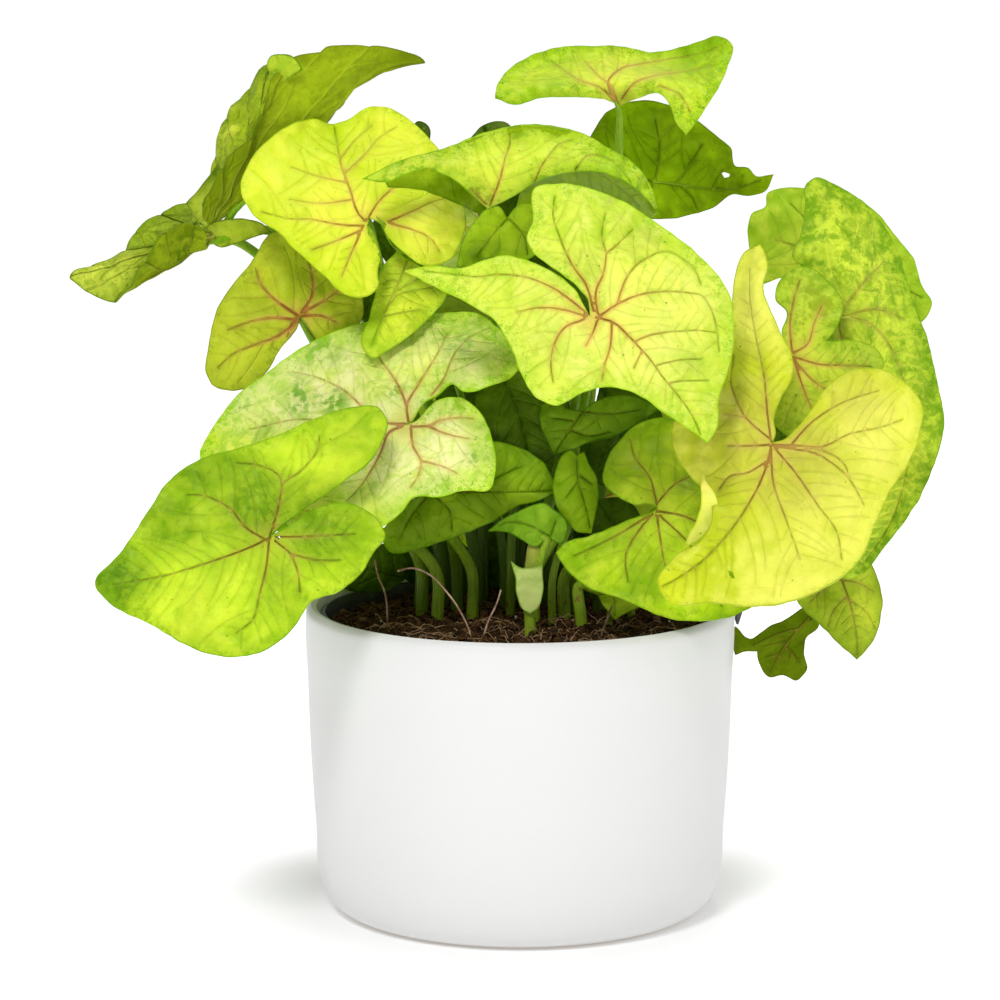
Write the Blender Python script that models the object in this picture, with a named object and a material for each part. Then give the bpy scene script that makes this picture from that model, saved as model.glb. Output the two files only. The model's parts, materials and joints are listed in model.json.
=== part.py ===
"""Potted syngonium: a white ceramic pot, a dark nursery liner, compost, and a bushy arrowhead
plant whose leaves each stand on a petiole that rises out of its own hole in the compost.
Metres, Z up, the front of the plant towards -Y, the middle of the pot's underside at the origin."""

import math
import random

import bmesh
import bpy
import numpy as np
from mathutils import Vector
from mathutils.geometry import delaunay_2d_cdt

# Leaves are set out on a front sketch of 1000 by 1000 units, seen from an eye point that looks
# slightly down. A landmark is (across, down, out): out is millimetres in front of the pot's axis.
EYE = np.array((-0.0063, -1.150, 0.310))
PITCH = math.radians(8.9)
REACH = 3700.0
UNIT_MM = 0.312

# Ceramic pot, outside then inside, as (radius, height) in millimetres.
POT_OUTSIDE = (
    (0, 0), (53.0, 0), (57.6, 1.0), (61.2, 4.0), (63.4, 9.5), (64.9, 27.0), (66.4, 52.0),
    (67.6, 94.0), (67.2, 96.3), (65.6, 97.0),
)
POT_INSIDE = ((63.8, 96.3), (63.2, 94.5), (61.8, 44.0), (59.6, 11.0), (54.0, 5.5), (0, 5.5))
POT_STEPS = 42

# Nursery liner, standing on the pot's floor.
LINER_OUTSIDE = ((0, 5.9), (52.0, 5.9), (54.6, 8.4), (61.9, 90.0), (62.8, 95.0))
LINER_INSIDE = ((61.6, 95.2), (60.5, 88.6), (53.2, 9.2), (51.5, 7.3), (0, 7.3))
LINER_STEPS = 32

# Compost: it fills the liner and is slightly mounded.
SOIL_FOOT = 7.7
SOIL_EDGE = 89.6
SOIL_CROWN = 92.8
SOIL_STEPS = 30
HOLE_FLOOR = 80.0
SEAT_GAP = 0.32

# Wiry roots above the compost, as landmarks on the front sketch, each ending inside the compost.
ROOTS = (
    ((402, 572, 18), (420, 568, 22), (445, 590, 27), (466, 622, 32), (478, 660, 36)),
    ((501, 588, 27), (496, 604, 29), (486, 628, 33), (480, 658, 36)),
    ((365, 552, 4), (372, 575, 8), (380, 604, 11), (384, 645, 13)),
    ((614, 612, 22), (608, 624, 25), (601, 640, 29), (598, 660, 32)),
)

BLADE = 0.85
PETIOLE_SIDES = 6

COLOURS = {
    "ceramic": (0.86, 0.86, 0.85),
    "liner": (0.055, 0.057, 0.066),
    "compost": (0.055, 0.030, 0.016),
    "yellow": (0.74, 0.80, 0.07),
    "lime": (0.50, 0.74, 0.06),
    "cream": (0.72, 0.80, 0.33),
    "green": (0.27, 0.52, 0.035),
    "deep": (0.075, 0.19, 0.012),
    "olive": (0.24, 0.35, 0.02),
}


def clear_scene():
    for obj in list(bpy.data.objects):
        bpy.data.objects.remove(obj, do_unlink=True)


def material(name, tone, rough):
    made = bpy.data.materials.new(name)
    made.use_nodes = True
    shader = made.node_tree.nodes["Principled BSDF"]
    shader.inputs["Base Color"].default_value = (*COLOURS[tone], 1)
    shader.inputs["Roughness"].default_value = rough
    shader.inputs["Metallic"].default_value = 0.0
    return made


def solid(name, points, faces, tone, rough=0.5, smooth=True):
    mesh = bpy.data.meshes.new(name)
    mesh.from_pydata([tuple(p) for p in points], [], faces)
    mesh.materials.append(material(name, tone, rough))
    for polygon in mesh.polygons:
        polygon.use_smooth = smooth
    obj = bpy.data.objects.new(name, mesh)
    bpy.context.scene.collection.objects.link(obj)
    return obj


def helper(obj):
    obj.hide_render = True
    obj.display_type = "WIRE"
    return obj


def boolean(obj, other, operation):
    step = obj.modifiers.new(operation.title(), "BOOLEAN")
    step.operation = operation
    step.solver = "EXACT"
    step.use_self = True
    step.object = helper(other)


def keep_largest(obj):
    """Puts the finished Boolean in place of the steps and drops specks that it cut loose."""
    bpy.context.view_layer.update()
    done = bpy.data.meshes.new_from_object(obj.evaluated_get(bpy.context.evaluated_depsgraph_get()))
    for step in list(obj.modifiers):
        bpy.data.objects.remove(step.object)
        obj.modifiers.remove(step)
    obj.data = done
    work = bmesh.new()
    work.from_mesh(done)
    bmesh.ops.triangulate(work, faces=work.faces[:])
    islands = []
    left = set(work.faces)
    while left:
        reached = [left.pop()]
        island = set(reached)
        while reached:
            for edge in reached.pop().edges:
                for face in edge.link_faces:
                    if face in left:
                        left.remove(face)
                        island.add(face)
                        reached.append(face)
        islands.append(island)
    islands.sort(key=len)
    loose = [face for island in islands[:-1] for face in island]
    bmesh.ops.delete(work, geom=loose, context="FACES")
    work.to_mesh(done)
    work.free()


def turned(profile, steps):
    """A closed solid of revolution from a profile that starts and ends on the axis."""
    points = [(0, 0, profile[0][1] / 1000)]
    for radius, height in profile[1:-1]:
        for i in range(steps):
            turn = 2 * math.pi * i / steps
            points.append((radius * math.cos(turn) / 1000, radius * math.sin(turn) / 1000, height / 1000))
    points.append((0, 0, profile[-1][1] / 1000))
    faces = []
    rows = len(profile) - 2
    for i in range(steps):
        j = (i + 1) % steps
        faces.append((0, 1 + j, 1 + i))
        for row in range(rows - 1):
            a = 1 + row * steps
            b = a + steps
            faces.append((a + i, a + j, b + j, b + i))
        last = 1 + (rows - 1) * steps
        faces.append((last + i, last + j, len(points) - 1))
    return points, faces


def spot(across, down, out):
    """The point of space that lies on the sketch point's sight line, this far in front of the axis."""
    ahead = REACH * math.cos(PITCH) - (down - 500) * math.sin(PITCH)
    fall = -REACH * math.sin(PITCH) - (down - 500) * math.cos(PITCH)
    stretch = (-out / 1000 - EYE[1]) / ahead
    return EYE + stretch * np.array((across - 500, ahead, fall))


def spline(known, values, wanted):
    """A smooth curve through the values, read at the wanted places."""
    step = np.diff(known)
    slope = np.diff(values, axis=0) / step[:, None]
    tangent = np.empty_like(values)
    tangent[0] = slope[0]
    tangent[-1] = slope[-1]
    before = step[:-1, None]
    after = step[1:, None]
    tangent[1:-1] = (slope[:-1] * after + slope[1:] * before) / (before + after)
    at = np.clip(np.searchsorted(known, wanted, side="right") - 1, 0, len(step) - 1)
    width = step[at][:, None]
    s = ((wanted - known[at])[:, None]) / width
    start = values[at]
    end = values[at + 1]
    return (
        (2 * s**3 - 3 * s**2 + 1) * start
        + (s**3 - 2 * s**2 + s) * width * tangent[at]
        + (3 * s**2 - 2 * s**3) * end
        + (s**3 - s**2) * width * tangent[at + 1]
    )


def ray(path, rings):
    """Points at even spacing along the smooth line through the path."""
    path = np.array(path)
    far = np.concatenate([[0], np.cumsum(np.linalg.norm(np.diff(path, axis=0), axis=1))])
    return spline(far, path, np.linspace(0, far[-1], rings + 1))


def snapped(places, low, high, count):
    """Up to count + 1 of the landmarks' places between two of them, evenly spread."""
    even = np.linspace(places[low], places[high], count + 1)
    return places[sorted({low + int(np.argmin(abs(places[low : high + 1] - one))) for one in even})]


def blade_sheet(rays, tip, bow, face, around, rings):
    """The blade's middle surface as an array [place round the edge][place from joint to edge]."""
    rays = np.array([ray(path, rings) for path in rays])
    far = np.concatenate([[0], np.cumsum(np.linalg.norm(np.diff(rays[:, -1], axis=0), axis=1))])
    flat = rays.reshape(len(rays), -1)
    first = max(2, round(around * far[tip] / far[-1]))
    head = snapped(far, 0, tip, first)
    tail = snapped(far, tip, len(far) - 1, max(2, around - first))
    one = spline(far[: tip + 1], flat[: tip + 1], head)
    two = spline(far[tip:], flat[tip:], tail)
    sheet = np.concatenate([one, two[1:]]).reshape(-1, rings + 1, 3)
    along = sheet[:, -1] - sheet[:, 0]
    reach = np.linalg.norm(along, axis=1)
    mean = np.cross(along, np.gradient(sheet[:, -1], axis=0)).sum(axis=0)
    mean /= np.linalg.norm(mean)
    upper = mean * (face if mean @ np.array((0, -1, 0.6)) > 0 else -face)
    level = np.linspace(0, 1, rings + 1)
    rise = bow / 1000 * (reach / reach.max())[:, None] * (4 * level * (1 - level))[None, :]
    return sheet + upper * rise[..., None], upper, len(head) - 1


def sheet_faces(rows, rings):
    faces = []
    for i in range(rows - 1):
        faces.append((0, 1 + i * rings, 1 + (i + 1) * rings))
        for j in range(rings - 1):
            a = 1 + i * rings + j
            b = a + rings
            if (i + j) % 2:
                faces += [(a, a + 1, b + 1), (a, b + 1, b)]
            else:
                faces += [(a, a + 1, b), (a + 1, b + 1, b)]
    return faces


def mean_normal(points, faces):
    corners = np.asarray(points)[np.array(faces)]
    turn = np.cross(corners[:, 1] - corners[:, 0], corners[:, 2] - corners[:, 0]).sum(axis=0)
    return turn / np.linalg.norm(turn)


def thickened(points, faces, thick):
    """A closed blade from a sheet, split into triangles alike on both faces."""
    points = np.asarray(points)
    corners = points[np.array(faces)]
    turn = np.cross(corners[:, 1] - corners[:, 0], corners[:, 2] - corners[:, 0])
    normal = np.zeros_like(points)
    for k in range(3):
        np.add.at(normal, np.array(faces)[:, k], turn)
    normal /= np.linalg.norm(normal, axis=1)[:, None]
    half = thick / 2000
    both = np.concatenate([points + normal * half, points - normal * half])
    count = len(points)
    closed = list(faces) + [(c + count, b + count, a + count) for a, b, c in faces]
    edges = {(a, b) for f in faces for a, b in zip(f, f[1:] + f[:1])}
    for a, b in sorted(edges):
        if (b, a) not in edges:
            closed += [(b, a, a + count), (b, a + count, b + count)]
    return both, closed


def tube(path, radii, sides):
    """A closed tube along the path."""
    path = np.asarray(path)
    heading = np.gradient(path, axis=0)
    heading /= np.linalg.norm(heading, axis=1)[:, None]
    across = np.cross(heading[0], (0.31, 0.83, 0.45))
    points = []
    for place, ahead, radius in zip(path, heading, radii):
        across = across - ahead * (across @ ahead)
        across /= np.linalg.norm(across)
        other = np.cross(ahead, across)
        for k in range(sides):
            turn = 2 * math.pi * k / sides
            points.append(place + radius / 1000 * (math.cos(turn) * across + math.sin(turn) * other))
    faces = [tuple(range(sides))[::-1]]
    for row in range(len(path) - 1):
        for k in range(sides):
            a = row * sides
            m = (k + 1) % sides
            faces.append((a + k, a + m, a + sides + m, a + sides + k))
    last = (len(path) - 1) * sides
    faces.append(tuple(last + k for k in range(sides)))
    return points, faces


def petiole_path(top, via, foot):
    """A smooth line from the joint, by way of the given points, to the compost."""
    ground = np.array((foot[0] / 1000, foot[1] / 1000, (SOIL_CROWN + 1.5) / 1000))
    points = [top, *via, ground + np.array((0, 0, 0.012)), ground]
    if not via:
        points.insert(1, top * 0.55 + ground * 0.45 + np.array((0, 0, 0.006)))
    path = ray(points, 8)
    under = np.array((ground[0], ground[1], (HOLE_FLOOR + SEAT_GAP + 0.1) / 1000))
    return np.concatenate([path, [under]])


FEET = []


def grow(name, tone, points, faces, joint, inward, lower, via, foot, stalk, thick=BLADE):
    """One blade on its petiole, as one node. inward is a place on the blade near the joint."""
    both, closed = thickened(points, faces, thick)
    obj = solid(name, both, closed, tone)
    top = joint + lower * stalk[0] * 0.0007
    path = np.concatenate([[inward + lower * 0.0006], petiole_path(top, via, foot)])
    radii = [0.5, *np.linspace(stalk[0], stalk[1], len(path) - 2), stalk[1]]
    tube_points, tube_faces = tube(path, radii, PETIOLE_SIDES)
    boolean(obj, solid(name + "_petiole", tube_points, tube_faces, tone), "UNION")
    keep_largest(obj)
    FEET.append((foot[0], foot[1], stalk[1]))
    return obj


def edge_distance(place, rim):
    """How far a place of the sketch lies inside the rim, negative outside it."""
    start = rim
    along = np.roll(rim, -1, axis=0) - start
    share = np.clip(((place - start) * along).sum(axis=1) / (along**2).sum(axis=1), 0, 1)
    near = np.linalg.norm(start + along * share[:, None] - place, axis=1).min()
    ahead = np.roll(rim, -1, axis=0)
    crosses = (start[:, 1] > place[1]) != (ahead[:, 1] > place[1])
    fall = np.where(ahead[:, 1] == start[:, 1], 1.0, ahead[:, 1] - start[:, 1])
    at = start[:, 0] + (place[1] - start[:, 1]) / fall * (ahead[:, 0] - start[:, 0])
    return near if (crosses & (at > place[0])).sum() % 2 else -near


def cut_blade(joint, edge, lean, bow, pitch):
    """A blade with the rim drawn on the sketch, as points and triangles, and its depth there."""
    rim = np.array([joint[:2]] + [mark[:2] for mark in edge], float)
    extra = np.array([0.0] + [mark[2] if len(mark) > 2 else 0.0 for mark in edge])

    def surface(place):
        near = 1 / (np.linalg.norm(rim - place, axis=1) ** 3 + 8)
        right, low = (place - rim[0]) * UNIT_MM
        puff = bow * min(1.0, max(0.0, edge_distance(place, rim)) / 32)
        depth = joint[2] + lean[0] * right + lean[1] * low + (near * extra).sum() / near.sum() + puff
        return spot(place[0], place[1], depth)

    places = list(rim)
    rows = int((rim[:, 1].max() - rim[:, 1].min()) / (pitch * 0.87)) + 1
    for row in range(rows):
        low = rim[:, 1].min() + pitch * 0.87 * (row + 0.5)
        for step in range(int(np.ptp(rim[:, 0]) / pitch) + 2):
            place = np.array((rim[:, 0].min() + pitch * (step + 0.5 * (row % 2)), low))
            if edge_distance(place, rim) > pitch * 0.45:
                places.append(place)
    ring = list(range(len(rim)))
    flat, _, faces, *_ = delaunay_2d_cdt([Vector(place) for place in places], [], [ring], 1, 1e-4)
    return [surface(np.array(place)) for place in flat], [tuple(face) for face in faces], surface


def leaf(
    name, tone, joint, edge, tip, foot, lean=(0.0, 0.5), bow=2.0, face=1, pitch=27, folded=False,
    around=24, rings=3, via=(), stalk=(1.5, 2.1),
):
    """A leaf drawn on the front sketch. A landmark's third number is its own millimetres forwards
    of the leaf's leaning plane. tip is a place on the sketch towards which the petiole's end bends
    inside the blade. In a folded leaf a list of landmarks is a bent line from the joint to the
    edge, and tip is the number of the landmark at the leaf's point."""
    via = [spot(*mark) for mark in via]
    start = spot(*joint)
    if not folded:
        points, faces, surface = cut_blade(joint, edge, lean, bow, pitch)
        here = np.array(joint[:2])
        share = max(0.15, 15 / np.linalg.norm(np.array(tip) - here))
        inward = surface(here + (np.array(tip) - here) * share)
        upper = mean_normal(points, faces)
        upper = upper * (face if upper @ np.array((0, -1, 0.6)) > 0 else -face)
        return grow(name, tone, points, faces, start, inward, -upper, via, foot, stalk)
    rays = []
    for marks in edge:
        path = [start]
        for mark in marks if isinstance(marks, list) else [marks]:
            extra = mark[2] if len(mark) > 2 else 0.0
            right = (mark[0] - joint[0]) * UNIT_MM
            low = (mark[1] - joint[1]) * UNIT_MM
            path.append(spot(mark[0], mark[1], joint[2] + lean[0] * right + lean[1] * low + extra))
        rays.append(path)
    return grow_fan(name, tone, rays, tip, via, foot, bow, face, around, rings, stalk)


def grow_fan(name, tone, rays, tip, via, foot, bow, face, around, rings, stalk):
    """One leaf from lines that run from its joint to its edge."""
    sheet, upper, first = blade_sheet(rays, tip, bow, face, around, rings)
    points = [sheet[0, 0]] + [p for row in sheet for p in row[1:]]
    inward = sheet[first, 0] * 0.45 + sheet[first, 1] * 0.55
    faces = sheet_faces(len(sheet), rings)
    return grow(name, tone, points, faces, sheet[0, 0], inward, -upper, via, foot, stalk)


def add_piece(name, tone, corner, edge, bow, pitch):
    """A second sheet fused to a leaf or stem. Depths are counted from that of the first corner."""
    points, faces, surface = cut_blade(corner, edge, (0.0, 0.0), bow, pitch)
    both, closed = thickened(points, faces, BLADE)
    obj = bpy.data.objects[name]
    boolean(obj, solid(name + "_piece", both, closed, tone), "UNION")
    keep_largest(obj)


# Half of an arrowhead leaf, joint at the origin and point at (1, 0), for the leaves at the back.
ARROW = (
    (-0.34, 0.11), (-0.52, 0.21), (-0.62, 0.36), (-0.56, 0.52), (-0.34, 0.61),
    (-0.04, 0.58), (0.22, 0.53), (0.48, 0.42), (0.72, 0.25), (0.90, 0.10),
)


def free_leaf(name, tone, joint, heading, droop, size, foot, via=(), roll=0.0, wave=1.5, cup=6.0):
    """An arrowhead leaf behind the ones on the sketch. heading is degrees from straight back
    towards +X, droop is degrees below level, size is millimetres from joint to point."""
    turn = math.radians(heading)
    dip = math.radians(droop)
    ahead = np.array((math.sin(turn) * math.cos(dip), math.cos(turn) * math.cos(dip), -math.sin(dip)))
    side = np.array((math.cos(turn), -math.sin(turn), 0.0))
    over = np.cross(side, ahead)
    lean = math.radians(roll)
    side, over = side * math.cos(lean) + over * math.sin(lean), over * math.cos(lean) - side * math.sin(lean)
    start = np.array(joint) / 1000
    outline = [(x, -y) for x, y in ARROW] + [(1.0, 0.0)] + [(x, y) for x, y in reversed(ARROW)]
    rays = []
    for count, (x, y) in enumerate(outline):
        bend = -cup * (x * x * 0.7 + y * y * 1.6) + wave * math.sin(count * 1.9) * math.hypot(x, y)
        rays.append([start, start + (ahead * x + side * y) * size / 1000 + over * bend / 1000])
    via = [np.array(point) / 1000 for point in via]
    return grow_fan(name, tone, rays, len(ARROW), via, foot, 1.5, -1, 20, 2, (1.5, 2.0))


def make_pot():
    profile = POT_OUTSIDE + POT_INSIDE
    points, faces = turned(profile, POT_STEPS)
    return solid("pot", points, faces, "ceramic", 0.35)


def make_liner():
    points, faces = turned(LINER_OUTSIDE + LINER_INSIDE, LINER_STEPS)
    liner = solid("liner", points, faces, "liner", 0.45)
    # A grip tab that laps over the pot's rim on the right.
    outline = (
        (61.9, 92.5), (62.7, 94.8), (62.9, 97.6), (67.9, 97.6), (68.2, 96.0), (68.1, 90.8),
        (68.9, 90.8), (71.0, 97.9), (70.6, 98.8), (62.4, 98.8), (61.9, 97.8),
    )
    count = len(outline)
    points = [(x / 1000, side * 0.0045, z / 1000) for side in (-1, 1) for x, z in outline]
    faces = [tuple(range(count)), tuple(range(2 * count - 1, count - 1, -1))]
    for i in range(count):
        j = (i + 1) % count
        faces.append((j, i, i + count, j + count))
    boolean(liner, solid("liner_tab", points, faces, "liner", 0.45, smooth=False), "UNION")
    return liner


def make_soil():
    """Compost with a lumpy top, a plain hole for each petiole, and a few wiry roots fused to it."""
    dice = random.Random(4)
    rings = (
        (0.0, SOIL_FOOT), (51.6, SOIL_FOOT), (60.0, SOIL_EDGE - 1.0), (59.4, SOIL_EDGE),
        (46.0, 91.6), (24.0, 92.6), (0.0, SOIL_CROWN),
    )
    points, faces = turned(rings, SOIL_STEPS)
    lumpy = []
    for x, y, z in points:
        lift = dice.uniform(-0.5, 0.5) / 1000 if z * 1000 > SOIL_EDGE + 0.3 else 0
        lumpy.append((x, y, z + lift))
    soil = solid("soil", lumpy, faces, "compost", 0.95)
    cut_points = []
    cut_faces = []
    for x, y, radius in FEET:
        wide = (radius + SEAT_GAP) / math.cos(math.pi / 8)
        start = len(cut_points)
        for height in (HOLE_FLOOR, 99.0):
            for k in range(8):
                turn = math.pi * k / 4
                cut_points.append(
                    ((x + wide * math.cos(turn)) / 1000, (y + wide * math.sin(turn)) / 1000, height / 1000)
                )
        cut_faces.append(tuple(start + k for k in range(8))[::-1])
        cut_faces.append(tuple(start + 8 + k for k in range(8)))
        for k in range(8):
            m = (k + 1) % 8
            cut_faces.append((start + k, start + m, start + 8 + m, start + 8 + k))
    boolean(soil, solid("soil_holes", cut_points, cut_faces, "compost"), "DIFFERENCE")
    root_points = []
    root_faces = []
    for path in ROOTS:
        way = ray([spot(*mark) for mark in path], 7)
        points, faces = tube(way, np.linspace(0.5, 0.65, len(way)), 5)
        root_faces += [tuple(len(root_points) + k for k in face) for face in faces]
        root_points += points
    boolean(soil, solid("soil_roots", root_points, root_faces, "compost"), "UNION")
    return soil


clear_scene()
make_pot()
make_liner()

leaf(
    "leaf_front_centre", "lime", (590, 317, 60),
    [
        (582,303,-1), (573,290,-1), (561,280,-1), (546,271), (530,263), (505,254,-2), (480,262),
        (465,268), (430,266,1),
        (405,271,2), (430,284,2), (465,302), (495,321), (513,352), (523,378), (540,400), (556,405),
        (580,394,-2), (610,387,-5), (640,396,-5), (663,412,-3), (690,430), (707,443), (717,428,-2),
        (718,400,-5), (729,368,-8), (734,330,-10), (730,297,-10), (715,272,-10), (690,248,-8),
        (655,222,-6), (625,203,-4), (600,192), (560,184), (533,190), (532,206), (533,222),
        (527,238,1), (536,252), (552,262), (573,276), (590,288),
    ],
    (707, 443), (3, -2), lean=(0.0, 0.55), bow=3.0,
    via=[(585, 345, 30), (572, 410, 3), (550, 500, 1)],
)

leaf(
    "leaf_lower_left", "green", (270, 536, 62),
    [
        (288,521,-2), (310,505,-4), (338,486,-4), (350,477,-3), (365,467,-2), (380,446),
        (387,420,-2), (378,408,-4), (350,408,-4), (312,420,-3), (280,434,-3), (240,448,-4),
        (200,460,-6), (170,480,-6), (148,512,-5), (128,542,-4), (118,556,-2), (95,583), (108,602),
        (125,613), (150,624,1), (180,642,2), (205,653,3), (235,657,3), (262,652,3), (284,638,2),
        (298,622,1), (310,603), (340,591,-2), (362,572,-4), (374,552,-5), (385,538,-5),
        (378,520,-3), (362,508,-1), (345,503,1), (315,509,2), (290,526,2),
    ],
    (95, 583), (-26, -3), lean=(0.05, 0.42), bow=2.5,
    via=[(300, 556, 44), (345, 547, 25), (396, 534, 9)],
)

leaf(
    "leaf_mid_left", "cream", (408, 425, 32),
    [
        (417,414), (424,404,-1), (440,394,-2), (452,384,1), (463,391,3), (490,386,2), (517,371),
        (515,350,-1), (500,330,-2), (480,315,-4), (440,313,-6), (400,318,-7), (355,325,-7),
        (330,334,-6), (295,352,-5), (265,375,-4), (240,393,-3), (215,425,-2), (200,455), (210,480),
        (240,508), (275,530), (308,540), (345,538), (384,526), (400,514), (414,498,1), (440,497,3),
        (462,491,2), (490,489), (495,475), (492,440,-2), (482,415,-3), (462,398,-3), (440,400,-2),
        (425,412,-1), (417,421),
    ],
    (200, 455), (-20, 8), lean=(0.20, 0.50), bow=3.0,
    via=[(414, 442, 12), (430, 470, 2), (452, 540, -5)],
)

leaf(
    "leaf_right", "yellow", (772, 443, 58),
    [
        (773,431), (773,416), (781,399,1), (792,376,1), (792,358,1), (784,340), (770,308),
        (763,288), (768,262,-2),
        (760,244,-6), (745,252,-8), (735,275,-8), (732,310,-10), (730,350,-11), (722,385,-10),
        (700,405,-7), (672,425,-4), (674,450,-3), (690,476,-4), (709,498,-3), (711,522,1),
        (698,543,3), (675,556,2), (658,584,1), (668,602), (710,603,1), (750,607,1), (790,602),
        (825,588,-2), (858,562,-4), (873,530,-5), (890,492,-6), (908,465,-7), (919,435,-8),
        (922,405,-8), (905,382,-7), (880,370,-6), (850,371,-4), (825,390,-3), (809,413,-2),
        (797,428,-1), (786,438),
    ],
    (658, 584), (14, -5), lean=(0.0, 0.45), bow=2.0,
    via=[(760, 440, 30), (712, 470, 12), (640, 540, 7)],
)

leaf(
    "leaf_upper_left", "yellow", (369, 218, 14),
    [
        (368,228), (375,243), (380,256), (377,272,1), (378,286,1), (372,294,1), (360,298,1),
        (345,295), (325,277), (300,254), (275,230,-1), (253,215,-2), (241,190,-4), (250,161,-6),
        (268,140,-9), (290,125,-13), (312,119,-18), (334,124,-22), (350,119,-22), (366,108,-20),
        (385,107,-18), (403,115,-15), (422,131,-12), (440,152,-10), (452,180,-9), (464,205,-8),
        (466,225,-5), (458,248,1), (447,262,1), (430,266,2), (418,263,2), (408,256,1), (396,246,1),
        (386,234), (380,223),
    ],
    (334, 124), (-14, 12), lean=(0.0, 0.50), bow=2.0,
    via=[(376, 252, -3), (400, 330, -9), (445, 450, -14)],
)

leaf(
    "leaf_top_centre", "lime", (488, 209, 24),
    [
        (458, 183, 4), (442, 173, 5), (428, 168, 6), (408, 173, 6), (392, 181, 5), (362, 179, 2),
        (380, 170, 1), (400, 161), (440, 150, -4), (470, 138, -7), (490, 131, -8), (507, 127, -9),
        (530, 124, -8), (560, 127, -7), (590, 136, -5), (608, 148, -4), (633, 163, -3), (650, 185, -3),
        (658, 214, -3), (645, 198, 2), (630, 185, 5), (610, 175, 6), (588, 171, 6), (562, 174, 5),
        (536, 182, 3), (512, 197, 1),
    ],
    (507, 140), (-2, 22), lean=(0.0, 0.10), bow=1.0,
    via=[(494, 235, 4), (500, 300, -10), (512, 420, -18)],
)
add_piece(
    "leaf_top_centre", "lime", (388, 187, 21),
    [
        (425, 191, -3), (455, 203, -8), (480, 214, -17), (505, 222, -47), (540, 218, -43), (580, 218, -35),
        (622, 222, -23), (648, 221, -7), (656, 212, 0), (649, 187, -0.2), (632, 165, -1),
        (607, 150, -2.5), (590, 138, -4), (560, 129, -6.2), (530, 126, -7.2), (507, 129, -8.2),
        (490, 133, -7), (470, 140, -5.8), (440, 152, -2.5), (400, 163, 1.8), (380, 172, 2),
    ],
    bow=-4.0, pitch=34,
)

leaf(
    "leaf_far_left_high", "olive", (212, 226, -10),
    [
        [(204, 220, 2), (203, 206, 4)], (208, 192, 5), (220, 166, 5), (232, 150, 4), (250, 137, 3),
        (263, 115, 2), (268, 90, 1), (284, 68, 0), (320, 51, -2), (370, 47, -6), (423, 60, -10),
        (390, 74, -14), [(300, 150, -8), (366, 92, -18)], [(285, 160, -11), (343, 108, -22)],
        [(262, 165, -14), (300, 122, -26)], [(262, 140, -18), (292, 60, -36)],
        [(256, 140, -19), (268, 61, -38)],
        [(245, 150, -18), (250, 88, -38)], [(236, 160, -16), (228, 120, -34)],
        [(222, 190, -12), (218, 158, -28)],
        [(213, 210, -12), (212, 180, -22)],
    ],
    10, (-24, 28), lean=(-0.15, 0.10), bow=0.0, folded=True, around=23,
    via=[(240, 228, -16), (280, 234, -26), (350, 300, -33), (420, 430, -31)],
)

leaf(
    "leaf_far_left_low", "olive", (216, 236, -4),
    [
        [(208, 250, 1), (207, 233, 6)], [(188, 253, 2), (194, 224, 8)],
        [(172, 259, 3), (166, 236, 9)], [(157, 268, 3), (146, 262, 8)], [(142, 278, 3), (131, 287, 5)],
        (113, 299, 3), (85, 291, 1), (69, 276, 0), (90, 267, -3), (125, 250, -8), (135, 233, -12),
        (160, 214, -15), [(200, 222, -8), (187, 203, -14)],
    ],
    7, (-25, 19), lean=(0.02, 0.05), bow=0.0, folded=True, around=20,
    via=[(238, 242, -12), (262, 258, -18), (330, 340, -20), (400, 460, -22)],
)
add_piece(
    "leaf_far_left_low", "olive", (212, 239, -5),
    [(216, 229), (228, 222, -1), (246, 220, -3), (262, 224, -5), (272, 232, -7), (254, 236, -5),
     (238, 243, -3), (222, 247, -1)],
    bow=0.0, pitch=34,
)

leaf(
    "leaf_left_back", "olive", (300, 317, 0),
    [
        (313,334), (322,344,1), (336,342), (354,332), (363,316), (362,296), (350,276), (332,262,-1),
        (310,240,-2), (290,230,-3), (268,236,-4), (255,257,-4), (238,278,-3), (222,300,-2),
        (213,322,-1), (208,350), (206,372), (212,384,1), (232,391,1), (252,386), (268,370),
        (280,350), (290,337), (297,328),
    ],
    (255, 257), (-31, 3), lean=(-0.03, 0.22), bow=2.0,
    via=[(316, 345, -6), (355, 430, -2), (400, 520, 0)],
)

leaf(
    "leaf_hanging_small", "lime", (417, 246, 3),
    [
        (405,246), (393,256), (384,266), (378,278), (374,300), (367,325), (361,344), (366,354), (374,358),
        (384,353), (402,341), (422,325), (438,308), (447,294), (446,276), (438,258), (428,247),
    ],
    (366, 354), (-5, 10), lean=(0.0, 0.62), bow=3.0, stalk=(1.0, 1.6),
    via=[(428, 285, -5), (462, 400, -6)],
)

leaf(
    "leaf_under_top", "lime", (507, 218, 29),
    [
        (498,206), (484,211,2), (471,226,3), (461,245,4), (456,267,5), (470,269,2), (482,260,-4),
        (500,258,-7), (522,262,-8), (540,250,-8), (545,225,-6), (535,205,-2), (520,204),
    ],
    (470, 269), (-3, 3), lean=(0.0, 0.35), bow=2.5, stalk=(1.0, 1.6),
    via=[(510, 250, 10), (520, 350, -4)],
)

leaf(
    "leaf_top_right", "lime", (620, 106, -22),
    [
        (607,100,4), (590,98,9), (565,97,13), (540,98,15), (515,105,16), (495,98,14), (497,86,8),
        (508,70,0), (528,57,-8), (555,48,-16), (590,46,-22), (625,47,-26), (650,52,-26),
        (675,49,-24), (700,41,-20), (720,36,-14), (733,46,-8), (728,66,-3), (720,86,3), (708,104,8),
        (698,120,12), (686,135,14), (676,122,13), (669,104,11), (658,93,7), (642,97,3),
    ],
    (590, 46), (9, 21), lean=(0.0, 0.0), bow=2.0,
    via=[(619, 150, -25), (610, 250, -29), (580, 420, -26)],
)

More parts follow.
